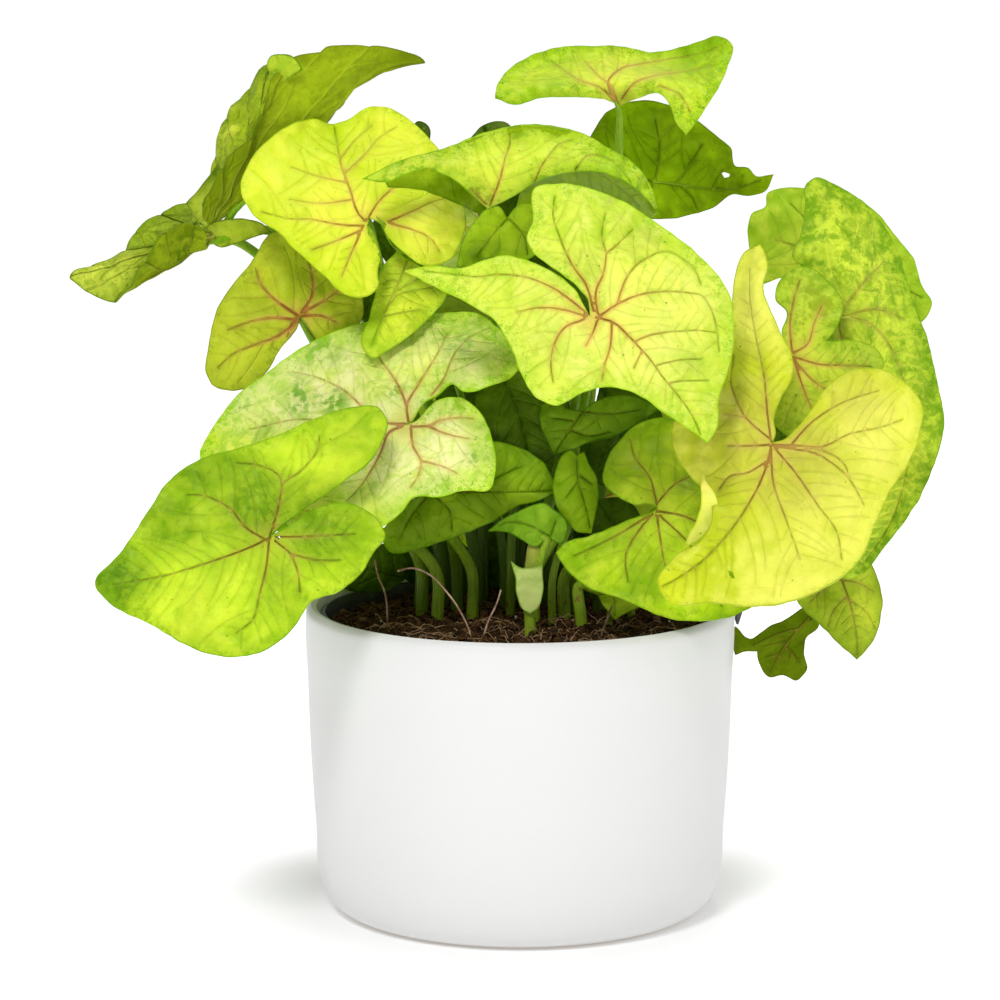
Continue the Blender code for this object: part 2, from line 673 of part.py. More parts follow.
leaf(
    "leaf_back_right_dark", "deep", (622, 178, -48),
    [
        (600,165,2), (585,148,3), (592,134,1), (606,113,-2), (635,101,-4), (668,104,-5),
        (698,121,-6), (718,137,-5), (731,148,-4), (735,166,-2), (748,168), (756,176,1), (774,174,2),
        (766,190,2), (748,196,1), (732,194), (716,206), (690,215,1), (660,219,2), (632,216,2),
        (605,206,2), (596,188,1),
    ],
    (774, 174), (15, 28), lean=(0.0, -0.10), bow=3.0, face=-1,
    via=[(614, 200, -40), (606, 240, -37), (590, 400, -35)],
)

leaf(
    "leaf_right_mottled", "green", (838, 316, 14),
    [
        (826,300,-1), (812,284,-3), (803,268,-5), (793,258,-6), (800,236,-6), (805,205,-7),
        (806,184,-8), (815,178,-10), (838,186,-12), (862,202,-12), (884,226,-11), (900,258,-9),
        (912,300,-7), (928,342,-4), (938,388), (944,420,2), (936,458,4), (918,500,6), (890,540,7),
        (852,578,7), (820,570,6), (800,530,5), (800,470,3), (806,420,2), (812,380,1), (818,345),
        (824,330),
    ],
    (852, 578), (25, 8), lean=(-0.20, 0.12), bow=4.0,
    via=[(815, 345, -4), (765, 440, -16), (690, 540, -15)],
)

leaf(
    "leaf_right_inner", "green", (792, 355, 34),
    [
        (784,343,-1), (782,330,-2), (787,312,-4), (776,300,-4), (778,284,-6), (797,268,-8),
        (812,268,-9), (828,282,-8), (843,303,-7), (838,325,-5), (826,341,-4), (850,340,-6),
        (878,350,-8), (884,366,-7), (868,380,-5), (850,400,-3), (835,428,-2), (812,440,-1),
        (790,438), (775,424), (771,402), (777,382), (785,370),
    ],
    (835, 428), (18, 1), lean=(0.0, 0.20), bow=1.5,
    via=[(778, 385, 16), (735, 460, -5), (650, 550, -6)],
)

leaf(
    "leaf_right_pale", "lime", (842, 262, -26),
    [
        (826,270), (800,276), (784,277), (763,284), (752,258), (748,228), (752,214), (766,206),
        (767,194), (778,189), (806,188), (840,190,-2), (872,208,-3), (896,236,-3), (915,262,-2),
        (921,284,-1), (932,302), (922,322), (904,330), (872,312), (852,282),
    ],
    (932, 302), (27, 14), lean=(0.0, 0.10), bow=3.0,
    via=[(820, 320, -37), (765, 430, -33), (700, 540, -22)],
)

leaf(
    "leaf_centre_right", "green", (657, 508, 36),
    [
        (648,504), (638,505), (622,499), (603,482), (606,462,-1), (617,443,-2), (635,426,-3),
        (664,418,-4), (692,430,-5), (716,456,-6), (742,492,-6), (764,528,-5), (776,562,-4),
        (766,594), (738,614,1), (702,621,1), (668,618,1), (640,607,1), (615,597,2), (590,589,2),
        (568,571,2), (556,553,2), (566,543,1), (590,536), (608,529), (630,519), (648,513),
    ],
    (776, 562), (19, -18), lean=(-0.05, 0.40), bow=2.5,
    via=[(640, 545, 26), (600, 590, 20)],
)

leaf(
    "leaf_centre_dark", "deep", (428, 492, 16),
    [
        (425,478), (424,462), (445,450), (470,442), (496,441), (522,449), (544,463), (552,478),
        (556,490), (546,498), (520,505), (494,521), (460,535), (420,548), (390,552), (382,536),
        (392,518), (412,502),
    ],
    (556, 490), (-15, -2), lean=(0.05, 0.15), bow=2.5,
    via=[(444, 525, 8)],
)

leaf(
    "leaf_centre_upright", "deep", (577, 456, 20),
    [
        (570,450), (562,456), (556,470), (553,488), (557,507), (567,521), (578,532), (591,533),
        (595,516), (598,496), (597,478), (590,466), (584,452),
    ],
    (591, 533), (10, -14), lean=(0.0, 0.35), bow=2.0, stalk=(0.9, 1.5),
    via=[(576, 500, 15)],
)

leaf(
    "leaf_centre_shaded", "deep", (582, 411, 14),
    [
        (570,409), (556,402), (541,404), (540,424), (546,440), (554,454), (572,450), (592,442),
        (616,436), (640,422), (660,410), (640,398), (612,396), (594,402),
    ],
    (554, 454), (5, -9), lean=(0.0, 0.40), bow=2.0, stalk=(0.9, 1.5),
    via=[(578, 440, 9), (566, 520, 7)],
)

leaf(
    "leaf_under_right", "green", (612, 584, 14),
    [
        (604,582), (596,588), (600,600), (608,611), (615,620), (627,613), (640,606), (640,590),
        (626,582),
    ],
    (615, 620), (28, -10), lean=(0.0, 0.6), bow=1.5, stalk=(0.8, 1.3),
)

leaf(
    "leaf_low_right", "green", (838, 572, -10),
    [
        (826,574), (806,586), (797,600), (804,610), (820,625), (838,643), (857,660), (868,648),
        (878,628), (882,602), (878,580), (868,560), (850,556),
    ],
    (857, 660), (35, -2), lean=(-0.1, 0.3), bow=3.0, stalk=(0.9, 1.5),
    via=[(800, 558, -14), (720, 560, -8)],
)

leaf(
    "leaf_low_right_ragged", "olive", (818, 608, -30),
    [
        (806,607), (788,618,1), (774,624), (760,633,1), (752,639), (735,626), (732,640,-1),
        (735,655), (746,651,1), (757,651), (758,660), (770,677), (783,675,1), (796,680), (807,668),
        (804,652,1), (806,638), (818,627),
    ],
    (770, 677), (35, 9), lean=(0.0, 0.1), bow=1.5, face=-1, stalk=(0.9, 1.5),
    via=[(800, 572, -28), (750, 556, -24), (700, 566, -18)],
)

leaf(
    "stem_front", "green", (548, 538, 31),
    [
        (562,543), (567,535), (566,520), (555,510), (545,503), (525,508,1), (505,518,2),
        (488,531,2), (510,533), (522,540), (535,547),
    ],
    (488, 531), (3, -33), lean=(0.0, 0.3), bow=1.0, stalk=(1.3, 2.1),
    via=[(537, 570, 32)],
)
add_piece(
    "stem_front", "cream", (530, 614, 35),
    [(539, 606), (543, 590), (542, 565), (529, 568), (519, 567), (511, 561), (515, 576),
     (517, 596), (523, 609)],
    bow=0.0, pitch=60,
)

free_leaf(
    "leaf_back_top", "lime", (-8, 42, 212), -12, 30, 44, (-12, 29),
    via=[(-8, 37, 188), (-10, 30, 140)],
)
free_leaf("leaf_back_centre", "green", (0, 58, 176), 4, 45, 46, (0, 33), via=[(1, 46, 172), (1, 37, 130)])
free_leaf(
    "leaf_back_left", "yellow", (-50, 62, 152), -35, 42, 44, (-19, 36),
    via=[(-43, 51, 149), (-26, 40, 118)],
)
free_leaf(
    "leaf_back_right", "lime", (44, 62, 168), 38, 45, 48, (22, 30),
    via=[(37, 53, 164), (26, 36, 125)],
)
free_leaf(
    "leaf_back_low_left", "green", (-66, 26, 134), -80, 40, 40, (-32, 16),
    via=[(-54, 22, 134), (-37, 18, 116)],
)
free_leaf(
    "leaf_back_low_mid", "green", (-20, 69, 119), -14, 64, 43, (-12, 42),
    via=[(-16, 60, 120), (-13, 48, 112)],
)
free_leaf(
    "leaf_back_low_right", "lime", (26, 75, 118), 16, 60, 42, (10, 38),
    via=[(20, 60, 121), (13, 44, 112)],
)
free_leaf(
    "leaf_back_side_right", "green", (66, 58, 124), 60, 45, 38, (34, 20),
    via=[(56, 48, 125), (40, 27, 112)],
)
free_leaf("leaf_inner_back", "deep", (1, 51, 138), 4, 62, 33, (3, 46), via=[(5, 44, 138), (6, 43, 112)])

make_soil()
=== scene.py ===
"""Looks of a potted arrowhead plant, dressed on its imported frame. Metres, Z up, front at -Y."""

import json
import math
import random

import bpy
import numpy as np
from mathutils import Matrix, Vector, noise
from mathutils.geometry import delaunay_2d_cdt

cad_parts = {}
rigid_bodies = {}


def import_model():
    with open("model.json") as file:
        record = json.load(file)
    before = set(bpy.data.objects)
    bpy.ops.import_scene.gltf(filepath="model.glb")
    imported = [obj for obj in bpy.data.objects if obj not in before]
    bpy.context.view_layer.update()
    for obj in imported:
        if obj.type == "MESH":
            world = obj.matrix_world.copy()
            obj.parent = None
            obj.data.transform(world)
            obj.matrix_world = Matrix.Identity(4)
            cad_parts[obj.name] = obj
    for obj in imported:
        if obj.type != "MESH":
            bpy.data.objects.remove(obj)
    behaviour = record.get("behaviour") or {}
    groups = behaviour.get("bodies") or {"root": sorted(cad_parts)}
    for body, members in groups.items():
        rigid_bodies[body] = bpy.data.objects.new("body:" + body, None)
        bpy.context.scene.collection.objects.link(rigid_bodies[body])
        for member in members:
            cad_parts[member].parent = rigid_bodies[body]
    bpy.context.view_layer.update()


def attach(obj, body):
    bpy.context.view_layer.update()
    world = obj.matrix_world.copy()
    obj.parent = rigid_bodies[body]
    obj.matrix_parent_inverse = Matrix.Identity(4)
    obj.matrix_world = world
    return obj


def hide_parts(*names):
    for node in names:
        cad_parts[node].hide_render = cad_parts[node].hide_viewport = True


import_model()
bpy.ops.object.select_all(action="DESELECT")

# The leaves are set out on the same front sketch as the solids: 1000 by 1000 units, seen from
# EYE. A landmark is (across, down, out), and out is millimetres in front of the pot's axis.
EYE = np.array((-0.0063, -1.150, 0.310))
PITCH = math.radians(8.9)
REACH = 3700.0
MIDDLE = 500
UNIT_MM = 0.312
TO_VIEWER = np.array((0, -1, 0.6))

# Turned walls as (radius, height) in millimetres: foot, outside, rim, inside, floor.
POT_WALL = (
    (46.0, 1.8), (49.5, 1.5), (51.0, 0.2), (53.0, 0.0), (57.6, 1.0), (61.2, 4.0), (63.4, 9.5),
    (64.9, 27.0), (66.4, 52.0), (67.1, 74.0), (67.6, 93.0), (67.4, 95.6), (66.6, 96.7), (65.6, 97.0),
    (64.6, 96.8), (63.8, 96.0), (63.2, 93.5), (62.3, 60.0), (61.8, 44.0), (60.9, 25.0),
    (59.6, 11.0), (57.5, 7.0), (54.0, 5.6), (50.0, 5.5),
)
LINER_WALL = (
    (48.0, 5.9), (52.0, 5.9), (54.6, 8.4), (58.0, 46.0), (61.9, 90.0), (62.8, 94.6), (62.6, 95.2),
    (61.9, 95.4), (61.5, 94.9), (60.5, 88.6), (56.9, 46.0), (53.2, 9.2), (51.5, 7.3), (48.0, 7.3),
)
# The liner's grip tab, hooked over the pot's rim: (across, height), and its width.
TAB_OUTLINE = (
    (62.0, 92.5), (62.7, 94.8), (62.9, 97.6), (67.9, 97.6), (68.2, 96.0), (68.1, 90.8),
    (68.9, 90.8), (71.0, 97.9), (70.6, 98.8), (62.4, 98.8), (61.9, 97.8),
)
TAB_WIDTH = 8.6
# The compost, in millimetres: height at the wall and in the middle, radius, reach of the grains.
SOIL_EDGE = 89.6
SOIL_CROWN = 92.8
SOIL_RADIUS = 60.2
GRAIN_RADIUS = 58.5

# A blade's thickness in metres, and the spacing of its mesh points in sketch units.
THIN = 0.00055
FINE = 2.7
# A blade's relief as (size in sketch units, height in millimetres).
SWELL = (44, 2.2)
DIMPLE = (17, 0.75)
SMALL_DIMPLE = (8.5, 0.28)
RIM_WAVE = (26, 0.8)
RIM_NICK = (11, 0.9)
# Its ripples along the whole rim and their height, and the width of the crimped margin.
RIM_RIPPLES = 13
RIPPLE_MM = 0.12
CRIMPED_MM = 6
# Landmarks whose bend has a cosine below this are real corners.
CORNER = 0.2
# Side veins: sketch units kept clear of the rim, the drawn veins and one another, and most points.
RIM_GAP = 7
VEIN_GAP = 5.2
SIDE_GAP = 3.8
SIDE_STEPS = 26
# Petioles, in millimetres: foot above the crown, straight rise and depth in the compost.
FOOT_RISE = 1.5
STRAIGHT = 12
BURIED = 11
# A petiole's radius as a share of the stated one.
STALK_SHARE = 0.94


def spots(across, down, out):
    """The points of space on the sketch points' sight lines, so far in front of the axis."""
    across, down, out = np.broadcast_arrays(across, down, out)
    ahead = REACH * math.cos(PITCH) - (down - MIDDLE) * math.sin(PITCH)
    fall = -REACH * math.sin(PITCH) - (down - MIDDLE) * math.cos(PITCH)
    stretch = (-out / 1000 - EYE[1]) / ahead
    return EYE + stretch[..., None] * np.stack([across - MIDDLE, ahead, fall], axis=-1)


def sketched(points):
    """The sketch places at which the points of space are seen."""
    from_eye = points - EYE
    ahead = from_eye @ np.array((0, math.cos(PITCH), -math.sin(PITCH)))
    fall = from_eye @ np.array((0, -math.sin(PITCH), -math.cos(PITCH)))
    return np.stack([MIDDLE + REACH * from_eye[:, 0] / ahead, MIDDLE + REACH * fall / ahead], axis=1)


def spline(known, values, wanted):
    """A smooth curve through the values, read at the wanted places."""
    step = np.diff(known)
    slope = np.diff(values, axis=0) / step[:, None]
    tangent = np.empty_like(values)
    tangent[0] = slope[0]
    tangent[-1] = slope[-1]
    before = step[:-1, None]
    after = step[1:, None]
    tangent[1:-1] = (slope[:-1] * after + slope[1:] * before) / (before + after)
    at = np.clip(np.searchsorted(known, wanted, side="right") - 1, 0, len(step) - 1)
    width = step[at][:, None]
    s = (wanted - known[at])[:, None] / width
    return (
        (2 * s**3 - 3 * s**2 + 1) * values[at]
        + (s**3 - 2 * s**2 + s) * width * tangent[at]
        + (3 * s**2 - 2 * s**3) * values[at + 1]
        + (s**3 - s**2) * width * tangent[at + 1]
    )


def lengths(path):
    """How far along the path each of its points lies."""
    return np.concatenate([[0], np.cumsum(np.linalg.norm(np.diff(path, axis=0), axis=1))])


def smooth_line(path, count=0, spacing=1.0):
    """Evenly spread points along the smooth line through the path."""
    path = np.array(path, float)
    far = lengths(path)
    count = count or max(2, int(far[-1] / spacing) + 1)
    return spline(far, path, np.linspace(0, far[-1], count))


def closed_line(rim):
    return np.concatenate([rim, rim[:1]])


def smooth_rim(rim, spacing):
    """A leaf's edge as a fine closed line, smooth but for its real corners."""
    ahead = np.roll(rim, -1, axis=0) - rim
    back = np.roll(ahead, 1, axis=0)
    bend = (ahead * back).sum(axis=1) / np.linalg.norm(ahead, axis=1) / np.linalg.norm(back, axis=1)
    corners = [0] + [i for i in range(1, len(rim)) if bend[i] < CORNER]
    ring = closed_line(rim)
    runs = []
    for first, last in zip(corners, corners[1:] + [len(rim)]):
        runs.append(smooth_line(ring[first : last + 1], spacing=spacing)[:-1])
    return np.concatenate(runs)


def to_lines(places, lines):
    """Each place's distance to the nearest of the open lines, the line, and how far along it."""
    starts = np.concatenate([line[:-1] for line in lines])
    ends = np.concatenate([line[1:] for line in lines])
    owner = np.concatenate([np.full(len(line) - 1, k) for k, line in enumerate(lines)])
    share_at = np.concatenate([np.arange(len(line) - 1) / (len(line) - 1) for line in lines])
    along = ends - starts
    best = np.full(len(places), 1e9)
    which = np.zeros(len(places), int)
    for low in range(0, len(places), 2000):
        apart = places[low : low + 2000, None] - starts[None]
        share = np.clip((apart * along).sum(-1) / ((along**2).sum(-1) + 1e-12), 0, 1)
        gap = np.linalg.norm(apart - share[..., None] * along, axis=-1)
        which[low : low + 2000] = gap.argmin(axis=1)
        best[low : low + 2000] = gap.min(axis=1)
    return best, owner[which], share_at[which]


def inside(places, rim):
    """Which of the places lie within the rim, by counting its crossings."""
    ends = np.roll(rim, -1, axis=0)
    fall = np.where(ends[:, 1] == rim[:, 1], 1.0, ends[:, 1] - rim[:, 1])
    slope = (ends[:, 0] - rim[:, 0]) / fall
    held = []
    for low in range(0, len(places), 4000):
        across, down = places[low : low + 4000].T[..., None]
        crosses = (rim[:, 1] > down) != (ends[:, 1] > down)
        held.append((crosses & (rim[:, 0] + (down - rim[:, 1]) * slope > across)).sum(axis=1) % 2 == 1)
    return np.concatenate(held)


def nearest(place, points):
    return math.sqrt(((points - place) ** 2).sum(axis=1).min())


def side_vein(start, heading, side, rim, drawn, taken, dice):
    """One fine vein from a drawn one, bending towards its end until something is in its way."""
    line = [start]
    while len(line) < SIDE_STEPS:
        spot = line[-1] + np.array((math.cos(heading), math.sin(heading))) * FINE
        if nearest(spot, rim) < RIM_GAP or not inside(spot[None], rim)[0]:
            break
        if len(line) > 2 and nearest(spot, drawn) < VEIN_GAP:
            break
        if len(line) > 1 and nearest(spot, taken) < SIDE_GAP:
            break
        line.append(spot)
        heading -= side * math.radians(dice.uniform(0.4, 2.2))
    return line


def side_veins(veins, rim, dice):
    """Fine veins that leave each drawn vein on both sides."""
    made = []
    taken = [np.full((1, 2), -1e4)]
    drawn = np.concatenate(veins)
    for vein in veins:
        last = len(vein) - 1
        place = dice.randint(3, 6)
        while place < last - 1:
            for side in (-1, 1):
                tangent = vein[min(place + 1, last)] - vein[place - 1]
                heading = math.atan2(tangent[1], tangent[0]) + side * math.radians(dice.uniform(48, 66))
                line = side_vein(vein[place], heading, side, rim, drawn, np.concatenate(taken), dice)
                if len(line) > 4:
                    made.append(np.array(line))
                    taken.append(made[-1])
            place += dice.randint(4, 6)
    return made


def piece_name(name):
    """What the finer piece that replaces a CAD leaf or stem is called."""
    return name.replace("leaf", "blade") if "leaf" in name else name + "_shoot"


def claim(piece, slot, *nodes):
    """The piece rides on the plant's one body, and the CAD nodes it stands for are hidden. The slot is not
    used.
    """
    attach(piece, "root")
    if nodes:
        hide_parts(*nodes)


def set_down(name, data):
    """A new object of the data, the only one that is selected."""
    made = bpy.data.objects.new(name, data)
    bpy.context.scene.collection.objects.link(made)
    bpy.ops.object.select_all(action="DESELECT")
    bpy.context.view_layer.objects.active = made
    made.select_set(True)
    return made


def join_to(main, extra):
    bpy.ops.object.select_all(action="DESELECT")
    extra.select_set(True)
    main.select_set(True)
    bpy.context.view_layer.objects.active = main
    bpy.ops.object.join()


def make_blade(name, points, faces, values, finish):
    """A thin closed blade from a sheet, with its measures kept as attributes for the finish."""
    mesh = bpy.data.meshes.new(name)
    mesh.from_pydata([tuple(p) for p in points], [], faces)
    for label, numbers in values.items():
        layer = mesh.attributes.new(label, "FLOAT", "POINT")
        layer.data.foreach_set("value", np.asarray(numbers, np.float32))
    blade = set_down(name, mesh)
    for surface in finish:
        mesh.materials.append(surface)
    bpy.ops.object.modifier_add(type="SOLIDIFY")
    shell = blade.modifiers[-1]
    shell.thickness = THIN
    shell.offset = 0.0
    shell.material_offset = 1
    bpy.ops.object.modifier_apply(modifier=shell.name)
    bpy.ops.object.shade_smooth_by_angle(angle=math.radians(50))
    return blade


def tube(name, paths, bevel_steps, finish):
    """One mesh of round tubes along the paths of (x, y, z, radius), all in metres."""
    curve = bpy.data.curves.new(name, "CURVE")
    curve.dimensions = "3D"
    curve.bevel_depth = 1.0
    curve.bevel_resolution = bevel_steps
    curve.use_fill_caps = True
    for path in paths:
        line = curve.splines.new("POLY")
        line.points.add(len(path) - 1)
        for point, (x, y, z, radius) in zip(line.points, path):
            point.co = (x, y, z, 1)
            point.radius = radius
        line.use_smooth = True
    set_down(name, curve)
    bpy.ops.object.convert(target="MESH")
    made = bpy.context.view_layer.objects.active
    made.data.materials.clear()
    made.data.materials.append(finish)
    return made


def petiole(name, inward, top, via, foot, stalk):
    """The leaf stalk: from the blade, by way of the given points, down into the compost."""
    ground = np.array((foot[0] / 1000, foot[1] / 1000, (SOIL_CROWN + FOOT_RISE) / 1000))
    path = [top, *via, ground + np.array((0, 0, STRAIGHT / 1000)), ground]
    if not via:
        path.insert(1, top * 0.55 + ground * 0.45 + np.array((0, 0, STRAIGHT / 2000)))
    path = smooth_line(path, count=40)
    under = ground - np.array((0, 0, BURIED / 1000))
    path = np.concatenate([[inward, (inward + top) / 2], path[1:], [under]])
    path = smooth_line(path, count=52)
    share = np.linspace(0, 1, len(path))
    thick = np.interp(share, [0, 0.04, 0.1, 0.75, 0.97, 1], [0.35, 0.8, 1, 1, 1.05, 1.15])
    radii = thick * np.linspace(stalk[0], stalk[1], len(path)) * STALK_SHARE / 1000
    return tube(name, [np.column_stack([path, radii])], 4, STALK_FINISH)


def put_on_stalk(name, tone, blade, inward, joint, lower, via, foot, stalk):
    """Joins the blade and its petiole, which lies just under the blade from inward to the joint."""
    top = joint + lower * stalk[0] * 0.0007
    join_to(blade, petiole(name + "_stalk", inward + lower * 0.0013, top, via, foot, stalk))
    claim(blade, "leaf_" + tone, name)


def depths(places, landmarks, extra, base, lean, bow):
    """Millimetres in front of the axis over the leaf, as in the solid, before its fine relief."""
    apart = np.linalg.norm(places[:, None] - landmarks[None], axis=-1)
    near = 1 / (apart**3 + 8)
    right, low = ((places - landmarks[0]) * UNIT_MM).T
    margin = to_lines(places, [closed_line(landmarks)])[0] * inside(places, landmarks)
    return (
        base + lean[0] * right + lean[1] * low + (near * extra).sum(axis=1) / near.sum(axis=1)
        + bow * np.minimum(1, margin / 32)
    )


def soft_spots(places, marks):
    """How strongly soft spots (across, down, radius, amount) tint each place."""
    total = np.zeros(len(places))
    for across, down, radius, amount in marks:
        gap = np.linalg.norm(places - (across, down), axis=1)
        total = np.maximum(total, amount * np.clip(1.5 - gap / radius, 0, 1))
    return total


def painted(name, flat):
    # Cream spots: pale patches and, in places, painted light. The other spots: dark patches and painted
    # shade.
    marks = MARKS.get(name, {})
    return {label: soft_spots(flat, marks.get(label, ())) for label in ("cream", "shade")}


def wander(flat, wave, seed):
    """A relief of this (size, height) over the sketch places."""
    size, height = wave
    return np.array([noise.noise((x / size, y / size, seed)) for x, y in flat]) * height


def quilted(vein_mm, fine_mm, width, broad, small):
    """How far the skin stands up between the veins."""
    return broad * (1 - np.exp(-vein_mm / width)) + small * (1 - np.exp(-fine_mm / 0.9))


def nicked_rim(landmarks, seed):
    """The leaf's smooth edge, made slightly uneven. The joint stays where it is."""
    rim = smooth_rim(landmarks, FINE)
    along = np.roll(rim, -1, axis=0) - np.roll(rim, 1, axis=0)
    away = np.stack([along[:, 1], -along[:, 0]], axis=1) / (np.linalg.norm(along, axis=1)[:, None] + 1e-9)
    rim[1:] += (away * wander(rim, RIM_NICK, seed)[:, None])[1:]
    return rim


def kept_veins(veins, rim, joint):
    """The drawn veins as fine lines that end before the rim, and how strong each one is."""
    drawn = []
    strong = []
    for number, line in enumerate(veins):
        line = smooth_line(line, spacing=FINE)
        held = inside(line, rim) & (to_lines(line, [closed_line(rim)])[0] > 2.2)
        held[:3] = True
        last = len(line) if held.all() else int(np.argmin(held))
        if last > 3:
            drawn.append(line[:last])
            from_joint = np.linalg.norm(line[0] - joint) < 24
            strong.append(1.0 if number == 0 else 0.8 if from_joint else 0.5)
    return drawn, strong


def filler_places(rim, lines):
    """Evenly staggered mesh points inside the rim, clear of the rim and the lines."""
    filler = []
    for number, low in enumerate(np.arange(rim[:, 1].min(), rim[:, 1].max(), FINE * 0.87)):
        across = np.arange(rim[:, 0].min() + FINE * 0.5 * (number % 2), rim[:, 0].max(), FINE)
        filler.append(np.stack([across, np.full(len(across), low)], axis=1))
    filler = np.concatenate(filler)
    filler = filler[inside(filler, rim)]
    return filler[to_lines(filler, [closed_line(rim), *lines])[0] > FINE * 0.55]


def blade_net(rim, lines, holes):
    """A fine flat mesh inside the rim, with edges along the lines, open at the holes."""
    holes = [np.array(ring, float) for ring in holes]
    places = list(rim)
    pairs = []
    for line in [*lines, *map(closed_line, holes)]:
        start = len(places)
        places += list(line)
        pairs += [(start + k, start + k + 1) for k in range(len(line) - 1)]
    places += list(filler_places(rim, lines))
    flat, _, faces, *_ = delaunay_2d_cdt(
        [Vector(place) for place in places], pairs, [list(range(len(rim)))], 1, 1e-4
    )
    flat = np.array([tuple(place) for place in flat])
    faces = [tuple(f) for f in faces]
    if holes:
        middle = flat[np.array(faces)].mean(axis=1)
        open_at = np.any([inside(middle, ring) for ring in holes], axis=0)
        faces = [f for f, gone in zip(faces, open_at) if not gone]
    return flat, faces


def cut_blade(name, joint, edge, lean, bow, veins, relief, face):
    """A blade with the rim and veins drawn on the sketch, its relief, and its measures."""
    dice = random.Random(name)
    seed = dice.uniform(0, 50)
    landmarks = np.array([joint[:2]] + [mark[:2] for mark in edge], float)
    extra = np.array([0.0] + [mark[2] if len(mark) > 2 else 0.0 for mark in edge])
    rim = nicked_rim(landmarks, seed)
    drawn, strong = kept_veins(veins, rim, landmarks[0])
    fine = side_veins(drawn, rim, dice) if drawn else []
    flat, faces = blade_net(rim, drawn + fine, HOLES.get(name, ()))
    margin, _, along = to_lines(flat, [closed_line(rim)])
    margin_mm = margin * UNIT_MM
    vein_mm = np.full(len(flat), 20.0)
    taper = np.ones(len(flat))
    if drawn:
        vein_mm, which, share = to_lines(flat, drawn)
        vein_mm *= UNIT_MM
        taper = 1 - (1 - share) * np.array(strong)[which]
    fine_mm = vein_mm.copy()
    fade = np.zeros(len(flat))
    if fine:
        side_mm, _, fade = to_lines(flat, fine)
        fine_mm = np.minimum(fine_mm, side_mm * UNIT_MM)
    dimple = wander(flat, DIMPLE, seed) + wander(flat, SMALL_DIMPLE, seed)
    quilt = quilted(vein_mm, fine_mm, 2.6, 1.05, 0.42)
    crimp = np.clip(1 - margin_mm / CRIMPED_MM, 0, 1)
    ripple = np.sin(along * math.tau * RIM_RIPPLES + 2.5 * dimple) * RIPPLE_MM * crimp**2
    ripple += wander(flat, RIM_WAVE, seed + 9) * crimp
    out = depths(flat, landmarks, extra, joint[2], lean, bow)
    out += relief * (wander(flat, SWELL, seed) + dimple + ripple) + face * relief * (quilt - 0.6)
    values = {
        "vein": vein_mm, "taper": taper, "fine": fine_mm, "fade": fade, "rim": margin_mm,
        "base": np.linalg.norm(flat - landmarks[0], axis=1) * UNIT_MM,
        "puff": np.clip(0.5 + 0.42 * dimple + 0.45 * (quilt - 0.8), 0, 1), **painted(name, flat),
    }
    return spots(flat[:, 0], flat[:, 1], out), faces, values


def normal_of(points, faces):
    corners = np.asarray(points)[np.array([f[:3] for f in faces])]
    return np.cross(corners[:, 1] - corners[:, 0], corners[:, 2] - corners[:, 0]).sum(axis=0)


def turned_up(points, faces, face=1):
    """The way that a sheet's upper side looks, and its faces turned to show that side."""
    normal = normal_of(points, faces)
    normal /= np.linalg.norm(normal)
    upper = (normal if normal @ TO_VIEWER > 0 else -normal) * face
    return upper, faces if normal @ upper > 0 else [f[::-1] for f in faces]


def leaf(
    name, tone, joint, edge, tip, foot, lean=(0.0, 0.5), bow=2.0, face=1, via=(), stalk=(1.5, 2.1),
):
    """A leaf drawn on the front sketch, on its stalk."""
    veins = VEINS.get(name, [[joint[:2], tip]])
    relief = LOOKS.get(name, {}).get("relief", 1.0)
    points, faces, values = cut_blade(name, joint, edge, lean, bow, veins, relief, face)
    upper, faces = turned_up(points, faces, face)
    blade = make_blade(piece_name(name), points, faces, values, leaf_finish(name, tone))
    here = np.array(joint[:2])
    share = max(0.12, 14 / np.linalg.norm(np.array(tip) - here))
    wanted = spots(*(here + (np.array(tip) - here) * share), joint[2])
    inward = points[np.argmin(np.linalg.norm(points - wanted, axis=1))]
    via = [spots(*mark) for mark in via]
    put_on_stalk(name, tone, blade, inward, spots(*joint), -upper, via, foot, stalk)


def fan_sheet(rays, across_steps, rings):
    """A sheet from lines that run from the joint to the edge, as [place round][place out]."""
    rays = np.array([smooth_line(path, count=rings + 1) for path in rays])
    far = lengths(rays[:, -1])
    wanted = np.unique(np.concatenate([np.linspace(0, far[-1], across_steps), far]))
    sheet = spline(far, rays.reshape(len(rays), -1), wanted).reshape(-1, rings + 1, 3)
    return sheet, np.searchsorted(wanted, far)


def fan_faces(rows, rings):
    """Triangles round the joint, and quads between the rings outside them."""
    ids = np.arange(rows * rings).reshape(rows, rings) + 1
    faces = []
    for i in range(rows - 1):
        faces.append((0, int(ids[i, 0]), int(ids[i + 1, 0])))
        for j in range(rings - 1):
            faces.append(tuple(int(ids[a, b]) for a, b in ((i, j), (i, j + 1), (i + 1, j + 1), (i + 1, j))))
    return faces


def fan_relief(points, seed):
    """The swell of a fan-shaped blade in millimetres, broad and small."""
    shift = Vector((seed, 0, 0))
    swell = np.array([noise.noise(Vector(p) * 75 + shift) for p in points]) * 1.1
    return swell + np.array([noise.noise(Vector(p) * 210 + shift) for p in points]) * 0.6


